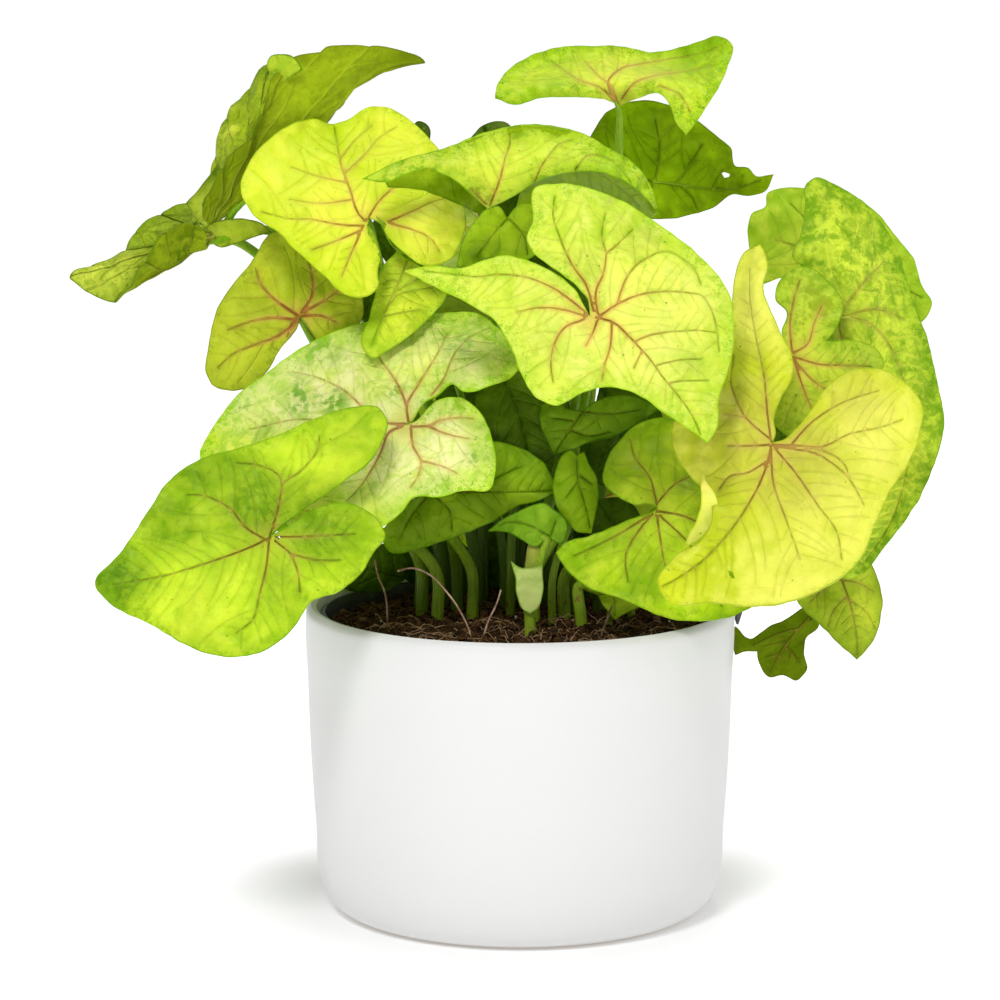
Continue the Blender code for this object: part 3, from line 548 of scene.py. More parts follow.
def fan_leaf(
    name, tone, rays, veined, tip, foot, via, bow=0.0, relief=1.0, face=1, inner=0.2,
    stalk=(1.5, 2.1), steps=(120, 34),
):
    """A fan-shaped blade with veins along some of its rays, on its stalk."""
    dice = random.Random(piece_name(name))
    rings = steps[1]
    sheet, at = fan_sheet(rays, *steps)
    along = sheet[:, -1] - sheet[:, 0]
    reach = np.linalg.norm(along, axis=1)
    mean = np.cross(along, np.gradient(sheet[:, -1], axis=0)).sum(axis=0)
    mean /= np.linalg.norm(mean)
    upper = mean * (face if mean @ TO_VIEWER > 0 else -face)
    level = np.linspace(0, 1, rings + 1)
    rise = bow / 1000 * (reach / reach.max())[:, None] * (4 * level * (1 - level))[None, :]
    sheet = sheet + upper * rise[..., None]
    points = np.concatenate([sheet[:1, 0], sheet[:, 1:].reshape(-1, 3)])
    faces = fan_faces(len(sheet), rings)
    vein_m, which, share = to_lines(points, [sheet[at[k]] for k in veined])
    share = 1 - (1 - share) * np.where(which == veined.index(tip), 1.0, 0.7)
    ribs = fan_ribs([sheet[k] for k in at], dice)
    rib_m, _, fade = to_lines(points, ribs)
    plain = [sheet[at[k]] for k in range(len(at)) if k not in veined]
    fine_m = np.minimum(np.minimum(vein_m, to_lines(points, plain)[0]), rib_m)
    rim_mm = to_lines(points, [sheet[:, -1]])[0] * 1000
    swell = fan_relief(points, dice.uniform(0, 50))
    quilt = quilted(vein_m * 1000, fine_m * 1000, 2.4, 0.8, 0.3)
    out = np.concatenate([[0], (np.arange(len(points) - 1) % rings + 1) / rings])
    points = points + upper * (relief * (swell + quilt - 0.5) * np.minimum(1, out * 4))[:, None] / 1000
    if normal_of(points, faces) @ upper < 0:
        faces = [f[::-1] for f in faces]
    values = {
        "vein": vein_m * 1000, "taper": share, "fine": fine_m * 1000, "fade": fade, "rim": rim_mm,
        "base": np.linalg.norm(points - points[0], axis=1) * 1000,
        "puff": np.clip(0.5 + 0.45 * (swell * 0.6 + quilt - 0.7), 0, 1), **painted(name, sketched(points)),
    }
    blade = make_blade(piece_name(name), points, faces, values, leaf_finish(name, tone))
    inward = sheet[at[tip], max(1, int(rings * inner))]
    put_on_stalk(name, tone, blade, inward, np.array(rays[0][0]), -upper, via, foot, stalk)


def fan_ribs(rays, dice):
    """Side veins that run from each ray to the next, further out, like a fishbone."""
    ribs = []
    for one, two in zip(rays, rays[1:]):
        last = len(one) - 1
        count = max(3, int(np.linalg.norm(one[-1] - one[0]) * 1000 / 5))
        for k in range(count):
            start = (k + dice.uniform(0.2, 0.8)) / (count + 1)
            end = min(0.97, start + dice.uniform(0.12, 0.2))
            low, high = (two, one) if dice.random() < 0.5 else (one, two)
            a = low[int(start * last)]
            b = high[int(end * last)]
            if np.linalg.norm(b - a) > 0.002:
                ribs.append(np.array([a, a * 0.5 + b * 0.5, b]))
    return ribs


def folded_leaf(name, tone, joint, edge, tip, foot, lean, via):
    """A leaf folded like a V: each list of landmarks is one bent line from the joint."""
    rays = []
    for marks in edge:
        path = [spots(*joint)]
        for mark in marks if isinstance(marks, list) else [marks]:
            extra = mark[2] if len(mark) > 2 else 0.0
            right = (mark[0] - joint[0]) * UNIT_MM
            low = (mark[1] - joint[1]) * UNIT_MM
            path.append(spots(mark[0], mark[1], joint[2] + lean[0] * right + lean[1] * low + extra))
        rays.append(path)
    via = [spots(*mark) for mark in via]
    fan_leaf(name, tone, rays, FOLD_VEINS[name], tip, foot, via, relief=LOOKS[name]["relief"])


def add_piece(name, tone, corner, edge, bow):
    """A second sheet on a leaf or stem. Depths are counted from that of the first corner."""
    veins = VEINS.get(name + "_piece", [])
    points, faces, values = cut_blade(name + "_piece", corner, edge, (0.0, 0.0), bow, veins, 0.5, 1)
    _, faces = turned_up(points, faces)
    finish = leaf_finish(name + "_piece", tone)
    extra = make_blade(piece_name(name) + "_flap", points, faces, values, finish)
    main = bpy.data.objects[piece_name(name)]
    bpy.context.view_layer.update()
    parent = main.parent
    main.parent = None
    join_to(main, extra)
    main.parent = parent


# Half of an arrowhead leaf, joint at the origin and point at (1, 0), for the leaves at the back.
ARROW = (
    (-0.34, 0.11), (-0.52, 0.21), (-0.62, 0.36), (-0.56, 0.52), (-0.34, 0.61),
    (-0.04, 0.58), (0.22, 0.53), (0.48, 0.42), (0.72, 0.25), (0.90, 0.10),
)
# How far its sides and point hang, and how high its rim waves, in millimetres.
CUP = 6.0
WAVE = 1.5


def free_leaf(name, tone, joint, heading, droop, size, foot, via):
    """An arrowhead leaf at the back. heading is degrees from straight back towards +X, droop is
    degrees below level, size is millimetres from joint to point."""
    turn = math.radians(heading)
    dip = math.radians(droop)
    ahead = np.array((math.sin(turn) * math.cos(dip), math.cos(turn) * math.cos(dip), -math.sin(dip)))
    side = np.array((math.cos(turn), -math.sin(turn), 0.0))
    over = np.cross(side, ahead)
    start = np.array(joint) / 1000
    outline = [(x, -y) for x, y in ARROW] + [(1.0, 0.0)] + [(x, y) for x, y in reversed(ARROW)]
    rays = []
    for count, (x, y) in enumerate(outline):
        bend = -CUP * (x * x * 0.7 + y * y * 1.6) + WAVE * math.sin(count * 1.9) * math.hypot(x, y)
        rays.append([start, start + (ahead * x + side * y) * size / 1000 + over * bend / 1000])
    middle = len(ARROW)
    veined = [2, 4, middle - 4, middle, middle + 4, middle + 6, middle + 8]
    via = [np.array(point) / 1000 for point in via]
    fan_leaf(
        name, tone, rays, veined, middle, foot, via, bow=1.5, relief=0.8, face=-1, inner=0.12,
        stalk=(1.5, 2.0), steps=(110, 30),
    )


def node(tree, kind, inputs=(), **settings):
    """Adds a node, sets it and joins or fills its inputs."""
    made = tree.nodes.new(kind)
    for key, value in settings.items():
        setattr(made, key, value)
    for key, value in dict(inputs).items():
        if isinstance(value, bpy.types.NodeSocket):
            tree.links.new(value, made.inputs[key])
        else:
            made.inputs[key].default_value = value
    return made


def calc(tree, kind, one, two=0.0, three=0.0):
    return node(tree, "ShaderNodeMath", {0: one, 1: two, 2: three}, operation=kind).outputs[0]


def times(tree, one, two):
    return calc(tree, "MULTIPLY", one, two)


def ease(tree, value, low, high, start=0.0, end=1.0):
    """A smooth step of value from low to high."""
    inputs = {"Value": value, "From Min": low, "From Max": high, "To Min": start, "To Max": end}
    return node(tree, "ShaderNodeMapRange", inputs, interpolation_type="SMOOTHSTEP").outputs[0]


def tint(tree, share, one, two):
    """The first colour, with this share of the second."""
    return node(tree, "ShaderNodeMix", {0: share, 6: one, 7: two}, data_type="RGBA").outputs[2]


def grain(tree, place, scale, detail=2.0, rough=0.5):
    """Cloudy noise of this fineness."""
    inputs = {"Vector": place, "Scale": scale, "Detail": detail, "Roughness": rough}
    return node(tree, "ShaderNodeTexNoise", inputs).outputs[0]


def measure(tree, label):
    """One of the measures that a blade's mesh carries."""
    return node(tree, "ShaderNodeAttribute", attribute_name=label).outputs["Fac"]


def stretched(tree, place, scale, turn=(0.0, 0.0, 0.0)):
    inputs = {"Vector": place, "Scale": scale, "Rotation": turn}
    return node(tree, "ShaderNodeMapping", inputs).outputs[0]


def effect(name, inputs, outputs):
    """An empty node group with these sockets: name to a starting number or colour."""
    group = bpy.data.node_groups.new(name, "ShaderNodeTree")
    for label, value in inputs.items():
        kind = "NodeSocketColor" if isinstance(value, tuple) else "NodeSocketFloat"
        made = group.interface.new_socket(label, in_out="INPUT", socket_type=kind)
        made.default_value = value
    for label, kind in outputs.items():
        group.interface.new_socket(label, in_out="OUTPUT", socket_type=kind)
    return group, group.nodes.new("NodeGroupInput").outputs, group.nodes.new("NodeGroupOutput")


def make_leaf_effect():
    """Everything that changes over a leaf: blotches, pale heart, speckled margin and veins, and painted
    shade and light from its relief and soft spots.
    """
    sockets = {
        "Light": (0.62, 0.84, 0.08, 1), "Deep": (0.30, 0.58, 0.03, 1), "Heart": (0.86, 0.92, 0.22, 1),
        "Speck": (0.10, 0.32, 0.004, 1), "Shade": (0.24, 0.34, 0.006, 1), "Vein": (0.38, 0.12, 0.03, 1),
        "Blush": (0.84, 0.44, 0.12, 1), "Blotch": 0.4, "Margin": 6.0, "Speckle": 0.6, "Hearted": 0.4,
        "Vein mm": 0.46, "Veined": 0.75, "Fine veined": 0.22, "Blushed": 0.5, "Netted": 0.0,
        "Relief shade and light": 0.6, "Patched": 0.2,
    }
    kinds = {"Color": "NodeSocketColor", "Height": "NodeSocketFloat", "Rough": "NodeSocketFloat"}
    tree, given, out = effect("leaf markings", sockets, kinds)
    place = node(tree, "ShaderNodeTexCoord").outputs["Object"]
    labels = ("vein", "taper", "fine", "fade", "puff", "rim", "base", "cream", "shade")
    vein, taper, fine, fade, puff, rim, base, cream, shade = [measure(tree, label) for label in labels]
    broad = grain(tree, place, 38.0, 3.0, 0.55)
    middle = grain(tree, place, 140.0, 3.0, 0.6)
    small = grain(tree, place, 400.0, 4.0, 0.65)
    tiny = grain(tree, place, 1900.0, 2.0, 0.6)
    # Body colour: deeper in soft blotches, with painted shade in the hollows of the relief and a painted
    # highlight on what stands up.
    blotch = times(tree, ease(tree, broad, 0.40, 0.62), given["Blotch"])
    colour = tint(tree, blotch, given["Light"], given["Deep"])
    low = times(tree, ease(tree, puff, 0.46, 0.14), given["Relief shade and light"])
    colour = tint(tree, low, colour, given["Deep"])
    high = times(tree, ease(tree, puff, 0.60, 0.88), times(tree, given["Relief shade and light"], 0.8))
    colour = tint(tree, high, colour, given["Heart"])
    pale = times(tree, ease(tree, middle, 0.44, 0.66), 0.14)
    colour = tint(tree, pale, colour, given["Heart"])
    # Green streaks that run off the veins towards the margin, and green patches between them.
    slant = calc(tree, "MULTIPLY_ADD", vein, -0.35, calc(tree, "MULTIPLY_ADD", middle, 9.0, base))
    across = node(tree, "ShaderNodeCombineXYZ", {
        0: times(tree, slant, 0.42), 1: times(tree, vein, 0.10), 2: times(tree, broad, 6.0),
    }).outputs[0]
    streak = ease(tree, grain(tree, across, 1.0, 3.0, 0.6), 0.50, 0.64)
    patch = ease(tree, grain(tree, place, 190.0, 5.0, 0.66), 0.50, 0.63)
    patch = times(tree, calc(tree, "MAXIMUM", streak, patch), ease(tree, base, 3.0, 14.0))
    colour = tint(tree, times(tree, patch, given["Patched"]), colour, given["Deep"])
    # Pale heart round the joint and in the cream spots, which are pale patches and, on some lobes in
    # shadow, painted light; less where the leaf is patched.
    heart = times(tree, ease(tree, base, 30.0, 3.0), given["Hearted"])
    pale_patch_and_light = times(tree, cream, ease(tree, middle, 0.25, 0.55, 0.55, 1.0))
    heart = calc(tree, "MAXIMUM", heart, pale_patch_and_light)
    spared = calc(tree, "MULTIPLY_ADD", patch, times(tree, given["Patched"], -0.8), 1.0)
    colour = tint(tree, times(tree, heart, spared), colour, given["Heart"])
    # Dark patches and painted shade from the soft spots, broken up where the leaf is patched.
    patch_and_shade_share = times(tree, shade, ease(tree, middle, 0.2, 0.7, 0.75, 1.0))
    gap = times(tree, ease(tree, calc(tree, "ADD", small, middle), 1.10, 0.94), given["Patched"])
    patch_and_shade_share = times(tree, patch_and_shade_share, calc(tree, "MULTIPLY_ADD", gap, -1.3, 1.0))
    colour = tint(tree, patch_and_shade_share, colour, given["Shade"])
    # Green margin with dark mottling and flecks, stronger in some stretches than in others.
    edge = calc(tree, "DIVIDE", rim, given["Margin"])
    reach = ease(tree, calc(tree, "ADD", edge, times(tree, broad, 1.3)), 1.60, 0.45)
    reach = times(tree, reach, given["Speckle"])
    colour = tint(tree, times(tree, reach, 0.45), colour, given["Deep"])
    mottled = times(tree, ease(tree, small, 0.49, 0.60), ease(tree, middle, 0.34, 0.54))
    colour = tint(tree, times(tree, mottled, reach), colour, given["Deep"])
    flecks = times(tree, ease(tree, tiny, 0.58, 0.64), ease(tree, middle, 0.42, 0.56))
    colour = tint(tree, times(tree, flecks, reach), colour, given["Speck"])
    # Dark green between the side veins, which leaves a pale net.
    between = times(tree, ease(tree, fine, 0.15, 0.8), ease(tree, middle, 0.38, 0.56))
    between = times(tree, between, ease(tree, small, 0.36, 0.54, 0.35, 1.0))
    colour = tint(tree, times(tree, between, given["Netted"]), colour, given["Deep"])
    # Sparse dark dots.
    dots = node(tree, "ShaderNodeTexVoronoi", {"Vector": place, "Scale": 300.0, "Randomness": 1.0})
    keep = node(tree, "ShaderNodeSeparateColor", {0: dots.outputs["Color"]}).outputs[0]
    dot = times(tree, ease(tree, dots.outputs["Distance"], 0.12, 0.07), ease(tree, keep, 0.80, 0.84))
    colour = tint(tree, times(tree, dot, 0.8), colour, given["Speck"])
    # Blush near the joint and in a soft halo along the veins.
    near = times(tree, ease(tree, vein, 1.9, 0.2), ease(tree, base, 30.0, 4.0))
    near = calc(tree, "MAXIMUM", near, ease(tree, base, 8.0, 1.0, 0.0, 0.85))
    colour = tint(tree, times(tree, near, given["Blushed"]), colour, given["Blush"])
    # Side veins and the vein that loops along the margin, both thin and broken.
    side = times(tree, ease(tree, fine, 0.24, 0.04), given["Fine veined"])
    side = times(tree, side, ease(tree, rim, 1.2, 4.0))
    side = times(tree, side, ease(tree, fade, 1.0, 0.2))
    side = times(tree, side, ease(tree, middle, 0.34, 0.52, 0.35, 1.0))
    loop_in = calc(tree, "MULTIPLY_ADD", broad, 5.0, 2.6)
    loop = calc(tree, "ABSOLUTE", calc(tree, "SUBTRACT", rim, loop_in))
    loop = times(tree, ease(tree, loop, 0.30, 0.06), times(tree, given["Fine veined"], 0.7))
    loop = times(tree, loop, ease(tree, middle, 0.40, 0.55))
    thin = tint(tree, 0.55, given["Vein"], given["Blush"])
    colour = tint(tree, calc(tree, "MAXIMUM", side, loop), colour, thin)
    # Drawn veins: thick and red by the joint, thin, pale and faint at the end.
    width = times(tree, given["Vein mm"], calc(tree, "MULTIPLY_ADD", taper, -0.75, 1.0))
    main = ease(tree, vein, times(tree, width, 1.15), times(tree, width, 0.30))
    strength = times(tree, given["Veined"], ease(tree, taper, 0.95, 0.12, 0.22, 1.0))
    line = tint(tree, ease(tree, taper, 0.1, 0.9, 0.0, 0.75), given["Vein"], given["Blush"])
    colour = tint(tree, times(tree, main, strength), colour, line)
    # A thin edge, darker in some stretches.
    lip = times(tree, ease(tree, rim, 0.55, 0.12), ease(tree, broad, 0.36, 0.56, 0.30, 0.95))
    colour = tint(tree, lip, colour, given["Deep"])
    # Relief: sunk veins, small blisters and three sizes of grain.
    blister = node(tree, "ShaderNodeTexVoronoi", {"Vector": place, "Scale": 300.0}, feature="SMOOTH_F1")
    height = calc(tree, "MULTIPLY_ADD", main, -0.7, times(tree, ease(tree, fine, 0.5, 0.0), -0.5))
    for layer, amount in ((blister.outputs[0], -0.75), (small, 0.70), (middle, 1.3), (tiny, 0.07)):
        height = calc(tree, "ADD", height, times(tree, layer, amount))
    tree.links.new(colour, out.inputs["Color"])
    tree.links.new(height, out.inputs["Height"])
    tree.links.new(calc(tree, "MULTIPLY_ADD", middle, 0.25, 0.27), out.inputs["Rough"])
    return tree


LEAF_EFFECT = make_leaf_effect()

# The record's leaf colours: light, deep and heart tints of the upper side, and the underside.
TONES = {
    "yellow": ((0.66, 0.83, 0.016), (0.36, 0.54, 0.006), (0.92, 0.94, 0.080), (0.42, 0.52, 0.020)),
    "lime": ((0.62, 0.82, 0.020), (0.26, 0.49, 0.005), (0.88, 0.93, 0.090), (0.38, 0.52, 0.012)),
    "cream": ((0.66, 0.86, 0.050), (0.26, 0.50, 0.006), (0.98, 0.99, 0.42), (0.36, 0.48, 0.020)),
    "green": ((0.44, 0.68, 0.012), (0.17, 0.36, 0.003), (0.72, 0.84, 0.050), (0.30, 0.44, 0.010)),
    "deep": ((0.15, 0.33, 0.004), (0.05, 0.14, 0.001), (0.36, 0.56, 0.020), (0.12, 0.23, 0.004)),
    "olive": ((0.36, 0.50, 0.012), (0.13, 0.23, 0.002), (0.58, 0.68, 0.040), (0.32, 0.42, 0.010)),
}


def leaf_surface(name, tints, values, rough=0.0, bump=0.5, under=False):
    """One side of a leaf: the shared markings with these colours and strengths."""
    made = bpy.data.materials.new(name)
    made.use_nodes = True
    tree = made.node_tree
    shader = tree.nodes["Principled BSDF"]
    marks = node(tree, "ShaderNodeGroup", node_tree=LEAF_EFFECT)
    for label, colour in tints.items():
        marks.inputs[label].default_value = (*colour, 1)
    for label, number in values.items():
        marks.inputs[label].default_value = number
    relief = node(tree, "ShaderNodeBump", {"Height": marks.outputs["Height"]}, invert=under)
    relief.inputs["Distance"].default_value = 0.0007 * max(bump, 1.0)
    relief.inputs["Strength"].default_value = min(bump, 1.0)
    tree.links.new(marks.outputs["Color"], shader.inputs["Base Color"])
    tree.links.new(relief.outputs[0], shader.inputs["Normal"])
    tree.links.new(calc(tree, "ADD", marks.outputs["Rough"], rough), shader.inputs["Roughness"])
    shader.inputs["Specular IOR Level"].default_value = 0.04 if under else 0.18
    shader.inputs["Specular Tint"].default_value = (1.0, 1.0, 0.4, 1)
    shader.inputs["Subsurface Weight"].default_value = 0.12
    shader.inputs["Subsurface Radius"].default_value = (0.5, 1.0, 0.15)
    shader.inputs["Subsurface Scale"].default_value = 0.002
    return made


def leaf_finish(name, tone):
    """The two sides of a leaf: its own markings above, a duller green with raised veins below."""
    light, deep, heart, below = TONES[tone]
    label = name.replace("leaf_", "")
    look = dict(LOOKS.get(name, {}))
    look.pop("relief", None)
    bump = look.pop("Bump", 0.65)
    below = look.pop("Below", below)
    tints = {"Light": light, "Deep": deep, "Heart": heart}
    tints.update({key: value for key, value in look.items() if isinstance(value, tuple)})
    values = {key: value for key, value in look.items() if not isinstance(value, tuple)}
    top = leaf_surface(label + " upper side", tints, values, 0.0, bump)
    dim = tuple(0.58 * part for part in below)
    bright = tuple(min(0.9, 1.4 * part) for part in below)
    speck = tuple(0.6 * part for part in dim)
    tints.update({"Light": below, "Deep": dim, "Heart": bright, "Speck": speck})
    values.update({"Speckle": 0.3, "Hearted": 0.15, "Blushed": values.get("Blushed", 0.5) * 0.5})
    return top, leaf_surface(label + " underside", tints, values, 0.12, 0.8, True)


# What sets each leaf apart from its colour's usual markings.
LOOKS = {
    "leaf_front_centre": {
        "relief": 1.1, "Margin": 9.0, "Speckle": 0.9, "Blushed": 0.6, "Hearted": 0.45,
        "Vein": (0.40, 0.14, 0.03), "Patched": 0.35, "Light": (0.83, 0.93, 0.10),
        "Heart": (0.94, 0.96, 0.22), "Deep": (0.36, 0.62, 0.010),
    },
    "leaf_lower_left": {
        "Margin": 5.0, "Blushed": 0.2, "Blotch": 0.6, "Hearted": 0.3, "Vein": (0.20, 0.09, 0.01),
        "Relief shade and light": 0.5, "Heart": (0.78, 0.90, 0.050), "Light": (0.54, 0.79, 0.020),
        "Fine veined": 0.16, "Shade": (0.10, 0.25, 0.002),
    },
    "leaf_mid_left": {
        "Margin": 12.0, "Speckle": 1.0, "Blushed": 0.45, "Vein": (0.46, 0.16, 0.08), "Hearted": 0.8,
        "Blotch": 0.5, "Vein mm": 0.6, "Speck": (0.14, 0.36, 0.01), "Relief shade and light": 0.25,
        "Patched": 0.6, "Deep": (0.34, 0.64, 0.007), "Light": (0.82, 0.96, 0.045),
        "Heart": (0.98, 0.99, 0.42), "Shade": (0.14, 0.40, 0.004),
    },
    "leaf_right": {
        "Margin": 3.0, "Speckle": 0.5, "Blushed": 0.4, "Blotch": 0.35, "Vein": (0.34, 0.12, 0.02),
        "Hearted": 0.2, "Light": (0.68, 0.77, 0.022), "Deep": (0.38, 0.48, 0.008), "Patched": 0.15,
        "Shade": (0.46, 0.42, 0.050), "Blush": (0.78, 0.52, 0.15), "Fine veined": 0.18,
        "Heart": (0.94, 0.93, 0.15),
    },
    "leaf_upper_left": {
        "Margin": 3.5, "Speckle": 0.5, "Blushed": 0.4, "Blotch": 0.3, "Hearted": 0.3,
        "Fine veined": 0.12, "Patched": 0.1, "Vein": (0.40, 0.14, 0.02),
    },
    "leaf_top_centre": {
        "Margin": 9.0, "Speckle": 1.0, "Blushed": 0.3, "Vein": (0.46, 0.20, 0.05), "Hearted": 0.35,
        "Patched": 0.3, "Light": (0.60, 0.83, 0.030), "Deep": (0.20, 0.42, 0.004),
    },
    "leaf_left_back": {
        "Blushed": 0.45, "Vein": (0.40, 0.07, 0.03), "Vein mm": 0.75, "Light": (0.60, 0.67, 0.030),
        "Deep": (0.24, 0.30, 0.008), "Hearted": 0.1, "Speckle": 0.7,
    },
    "leaf_right_mottled": {
        "Margin": 9.0, "Speckle": 0.9, "Netted": 0.5, "Patched": 0.75, "Veined": 0.35,
        "Vein": (0.62, 0.66, 0.12), "Blushed": 0.2, "Light": (0.70, 0.85, 0.06),
        "Deep": (0.15, 0.34, 0.004),
    },
    "leaf_right_inner": {
        "relief": 0.8, "Patched": 0.5, "Speckle": 0.7, "Hearted": 0.7, "Light": (0.56, 0.72, 0.06),
    },
    "leaf_centre_right": {
        "Patched": 0.3, "Speckle": 0.7, "Blushed": 0.15, "Vein": (0.26, 0.12, 0.02), "Blotch": 0.8,
        "Light": (0.50, 0.74, 0.012), "Relief shade and light": 0.7, "Fine veined": 0.15,
    },
    "leaf_back_right_dark": {
        "Vein": (0.34, 0.52, 0.04), "Blushed": 0.0, "Veined": 0.4, "Blotch": 0.8, "Patched": 0.3,
        "Light": (0.28, 0.46, 0.004), "Below": (0.29, 0.46, 0.004), "Relief shade and light": 0.9,
        "Fine veined": 0.05, "Blush": (0.34, 0.50, 0.03),
    },
    "leaf_hanging_small": {
        "Patched": 0.35, "relief": 0.7, "Light": (0.76, 0.92, 0.040), "Below": (0.60, 0.80, 0.030),
        "Veined": 0.35, "Blushed": 0.0, "Vein": (0.34, 0.36, 0.03), "Blotch": 0.6,
    },
    "leaf_under_top": {
        "Veined": 0.1, "Blushed": 0.0, "Light": (0.30, 0.50, 0.006), "Deep": (0.12, 0.26, 0.002),
        "Fine veined": 0.05, "Patched": 0.1, "Heart": (0.52, 0.70, 0.02),
    },
    "leaf_top_centre_piece": {
        "Light": (0.36, 0.54, 0.005), "Deep": (0.17, 0.30, 0.002), "Below": (0.34, 0.52, 0.004),
        "Patched": 0.3, "Blushed": 0.0, "Heart": (0.44, 0.60, 0.015), "Veined": 0.25,
        "Fine veined": 0.08, "Speckle": 0.2,
    },
    "leaf_right_piece": {
        "Light": (0.86, 0.90, 0.10), "Deep": (0.62, 0.74, 0.03), "Heart": (0.95, 0.97, 0.2),
        "Speckle": 0.0, "Patched": 0.0, "Fine veined": 0.0,
    },
    "leaf_top_right": {
        "Shade": (0.24, 0.46, 0.004), "Patched": 0.4, "Margin": 8.0, "Speckle": 1.0, "Blushed": 0.3,
        "Hearted": 0.7, "Vein": (0.50, 0.22, 0.06), "Blotch": 0.6,
    },
    "leaf_right_pale": {
        "Patched": 0.4, "Speckle": 0.7, "Veined": 0.25, "Blushed": 0.1, "Light": (0.52, 0.70, 0.04),
        "Blotch": 0.7,
    },
    "leaf_low_right": {
        "relief": 0.6, "Patched": 0.35, "Margin": 3.0, "Speckle": 0.9, "Vein": (0.24, 0.14, 0.02),
        "Blushed": 0.05, "Blotch": 0.7, "Light": (0.46, 0.60, 0.03), "Deep": (0.20, 0.32, 0.006),
    },
    "leaf_low_right_ragged": {
        "relief": 0.5, "Veined": 0.2, "Blushed": 0.0, "Light": (0.15, 0.25, 0.004),
        "Deep": (0.05, 0.11, 0.002), "Below": (0.17, 0.25, 0.004),
    },
    "leaf_far_left_high": {
        "Patched": 0.3, "Netted": 0.45, "Veined": 0.2, "Blushed": 0.0, "Vein": (0.40, 0.48, 0.12),
        "Relief shade and light": 1.0, "relief": 1.5, "Bump": 2.2, "Blotch": 0.5, "Heart": (0.74, 0.82, 0.06),
        "Light": (0.42, 0.56, 0.010), "Fine veined": 0.12,
    },
    "leaf_far_left_low": {
        "Patched": 0.5, "Netted": 0.35, "Veined": 0.3, "Blushed": 0.0, "Vein": (0.56, 0.60, 0.10),
        "Relief shade and light": 1.0, "relief": 1.3, "Bump": 1.6, "Blotch": 0.6, "Shade": (0.09, 0.16, 0.001),
        "Heart": (0.74, 0.82, 0.08), "Fine veined": 0.15,
    },
    "leaf_centre_dark": {
        "Blushed": 0.0, "Veined": 0.45, "Vein": (0.26, 0.12, 0.02), "Fine veined": 0.10,
        "Light": (0.27, 0.46, 0.006), "Deep": (0.10, 0.24, 0.002), "Heart": (0.46, 0.66, 0.02),
        "Blush": (0.25, 0.38, 0.02), "Shade": (0.05, 0.12, 0.002), "Patched": 0.1,
    },
    "leaf_centre_upright": {
        "Blushed": 0.0, "Veined": 0.3, "Vein": (0.22, 0.34, 0.03), "Fine veined": 0.10,
        "Light": (0.36, 0.58, 0.006), "Deep": (0.15, 0.32, 0.002), "Patched": 0.1,
        "Blush": (0.25, 0.38, 0.02),
    },
    # Its very dark colour is painted shade, as it lies deep in the bush.
    "leaf_centre_shaded": {
        "Blushed": 0.0, "Veined": 0.4, "Vein": (0.20, 0.10, 0.01), "Fine veined": 0.10,
        "Blush": (0.25, 0.38, 0.02), "Light": (0.11, 0.23, 0.002), "Patched": 0.1,
    },
    "leaf_under_right": {
        "Blushed": 0.0, "Veined": 0.3, "relief": 0.5,
    },
    "leaf_far_left_high_piece": {
        "Blushed": 0.0, "Light": (0.20, 0.40, 0.006), "Deep": (0.08, 0.20, 0.002),
    },
    "stem_front": {
        "Fine veined": 0.08, "Blushed": 0.0, "Veined": 0.3, "Vein": (0.20, 0.36, 0.03),
        "Light": (0.18, 0.40, 0.006), "Deep": (0.05, 0.18, 0.002), "Heart": (0.36, 0.60, 0.03),
        "Speckle": 0.4,
    },
    "leaf_inner_back": {
        "Blushed": 0.0, "Veined": 0.3, "Fine veined": 0.1, "Blush": (0.25, 0.38, 0.02),
    },
    "stem_front_piece": {
        "Blushed": 0.0, "Veined": 0.0, "Fine veined": 0.0, "Speckle": 0.0,
        "Light": (0.50, 0.66, 0.13), "Deep": (0.24, 0.42, 0.04), "Heart": (0.68, 0.78, 0.26),
        "Patched": 0.5,
    },
    "leaf_far_left_low_piece": {
        "Blushed": 0.0, "Light": (0.24, 0.36, 0.010), "Deep": (0.09, 0.17, 0.003),
    },
    "leaf_upper_left_piece": {
        "Blushed": 0.0, "Light": (0.34, 0.55, 0.012), "Deep": (0.14, 0.30, 0.003), "Speckle": 1.0,
        "Patched": 0.5,
    },
    "leaf_young": {
        "Blushed": 0.0, "Veined": 0.25, "Vein": (0.16, 0.24, 0.02), "Netted": 0.3,
        "Fine veined": 0.1, "Light": (0.09, 0.18, 0.003), "Deep": (0.02, 0.05, 0.001),
        "Heart": (0.16, 0.28, 0.006), "Blush": (0.12, 0.20, 0.01),
    },
}
